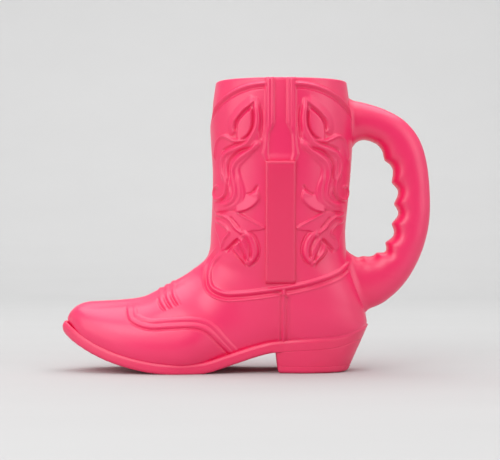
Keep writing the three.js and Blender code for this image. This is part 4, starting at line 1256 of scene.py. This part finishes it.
# %% Floor and backdrop in one sweep
def studio_sweep():
    width, front_y, back_y, bend, bend_steps, top = 3.0, -0.7, 1.4, 0.5, 12, 2.6
    leans = [k * math.pi / (2 * bend_steps) for k in range(1, bend_steps + 1)]
    profile = [(front_y, 0.0), (back_y - bend, 0.0)]
    profile += [(back_y - bend + bend * math.sin(lean), bend - bend * math.cos(lean)) for lean in leans]
    profile.append((back_y, top))
    points = [(x, y, z) for y, z in profile for x in (-width, width)]
    mesh = bpy.data.meshes.new("studio_sweep")
    mesh.from_pydata(points, [], [(2 * k, 2 * k + 1, 2 * k + 3, 2 * k + 2) for k in range(len(profile) - 1)])
    for polygon in mesh.polygons:
        polygon.use_smooth = True
    sweep = add_object("studio_sweep", mesh)
    return sweep


sweep = studio_sweep()
print("sweep of", len(sweep.data.polygons), "faces")

# %% Paper of the sweep
WALL_LIFT, PAPER_DARK, PAPER_PALE = 1.42, 0.51, 0.53


def pale_paper():
    """Paper whose tone rises slowly from the floor up the backdrop."""
    material = bpy.data.materials.new("pale_paper")
    tree = nodes_of(material)
    grain = add_node(tree, "TexNoise", {"Scale": 40})
    tone = add_node(tree, "MapRange", {"Value": grain["Fac"], "To Min": PAPER_DARK, "To Max": PAPER_PALE})
    place = add_node(tree, "NewGeometry", {})
    parts = add_node(tree, "SeparateXYZ", {"Vector": place["Position"]})
    far_up = add_node(tree, "Math", {0: parts["Z"], 1: 2.0, 2: parts["Y"]}, operation="MULTIPLY_ADD")
    lift = add_node(tree, "MapRange", {
        "Value": far_up["Value"], "From Min": 0.05, "From Max": 2.5, "To Min": 1.0, "To Max": WALL_LIFT})
    both = add_node(tree, "Math", {0: tone["Result"], 1: lift["Result"]}, operation="MULTIPLY")
    feed(tree.nodes["Principled BSDF"], {
        "Base Color": both["Value"], "Roughness": 0.9, "Specular IOR Level": 0.0})
    return material


sweep.data.materials.append(pale_paper())
print("the paper gets up to", WALL_LIFT, "times paler up the backdrop")

# %% Lamps
def soft_box(name, place, target, size, power):
    lamp = bpy.data.lights.new(name, "AREA")
    lamp.shape = "RECTANGLE"
    lamp.size, lamp.size_y = size
    lamp.energy = power
    stand = add_object(name, lamp)
    stand.location = place
    stand.rotation_euler = (Vector(target) - Vector(place)).to_track_quat("-Z", "Y").to_euler()
    print(name, "gives", power, "W")


# The top box looks a little towards the camera, which keeps its long side along X.
soft_box("top_box", (-0.05, 0.2, 1.3), (-0.05, 0.05, 0.08), (1.9, 1.45), 15.8)
soft_box("front_box", (-0.42, -1.05, 0.84), (0, 0, 0.05), (1.0, 0.65), 6.1)
soft_box("left_box", (-1.2, -0.85, 0.42), (0, 0, 0.08), (1.15, 0.85), 4.1)
soft_box("right_box", (1.15, -0.8, 0.55), (0, 0, 0.08), (1.0, 1.1), 3.7)

# %% World
FRONT_SKY, SIDE_SKY, SEEN_SKY = 0.06, 0.7, 0.72


def studio_sky():
    """A sky that lights the mug from the sides and is dim in front; the camera sees it pale all round."""
    world = bpy.data.worlds.new("studio")
    tree = nodes_of(world)
    way = add_node(tree, "TexCoord", {})
    parts = add_node(tree, "SeparateXYZ", {"Vector": way["Generated"]})
    level = add_node(tree, "MapRange", {
        "Value": parts["Y"], "From Min": -1.0, "From Max": -0.6, "To Min": FRONT_SKY, "To Max": SIDE_SKY},
        interpolation_type="SMOOTHSTEP")
    ray = add_node(tree, "LightPath", {})
    seen = add_node(tree, "Math", {0: ray["Is Camera Ray"], 1: SEEN_SKY}, operation="MULTIPLY")
    strength = add_node(tree, "Math", {0: level["Result"], 1: seen["Value"]}, operation="MAXIMUM")
    feed(tree.nodes["Background"], {"Color": (1, 1, 1, 1), "Strength": strength["Value"]})
    return world


bpy.context.scene.world = studio_sky()
print("the sky's strength is", SIDE_SKY, "at the sides and", FRONT_SKY, "in front")

# %% Camera
EYE = (2.36, -870.0, 86.1)
camera_data = bpy.data.cameras.new("camera")
camera_data.sensor_width = 36
camera_data.lens = 101.85
camera = add_object("camera", camera_data)
camera.location = Vector(EYE) * MM
camera.rotation_euler = (math.pi / 2, 0, 0)
bpy.context.scene.camera = camera
bpy.context.scene.view_settings.view_transform = "Standard"
print("camera", round(-EYE[1]), "mm away")
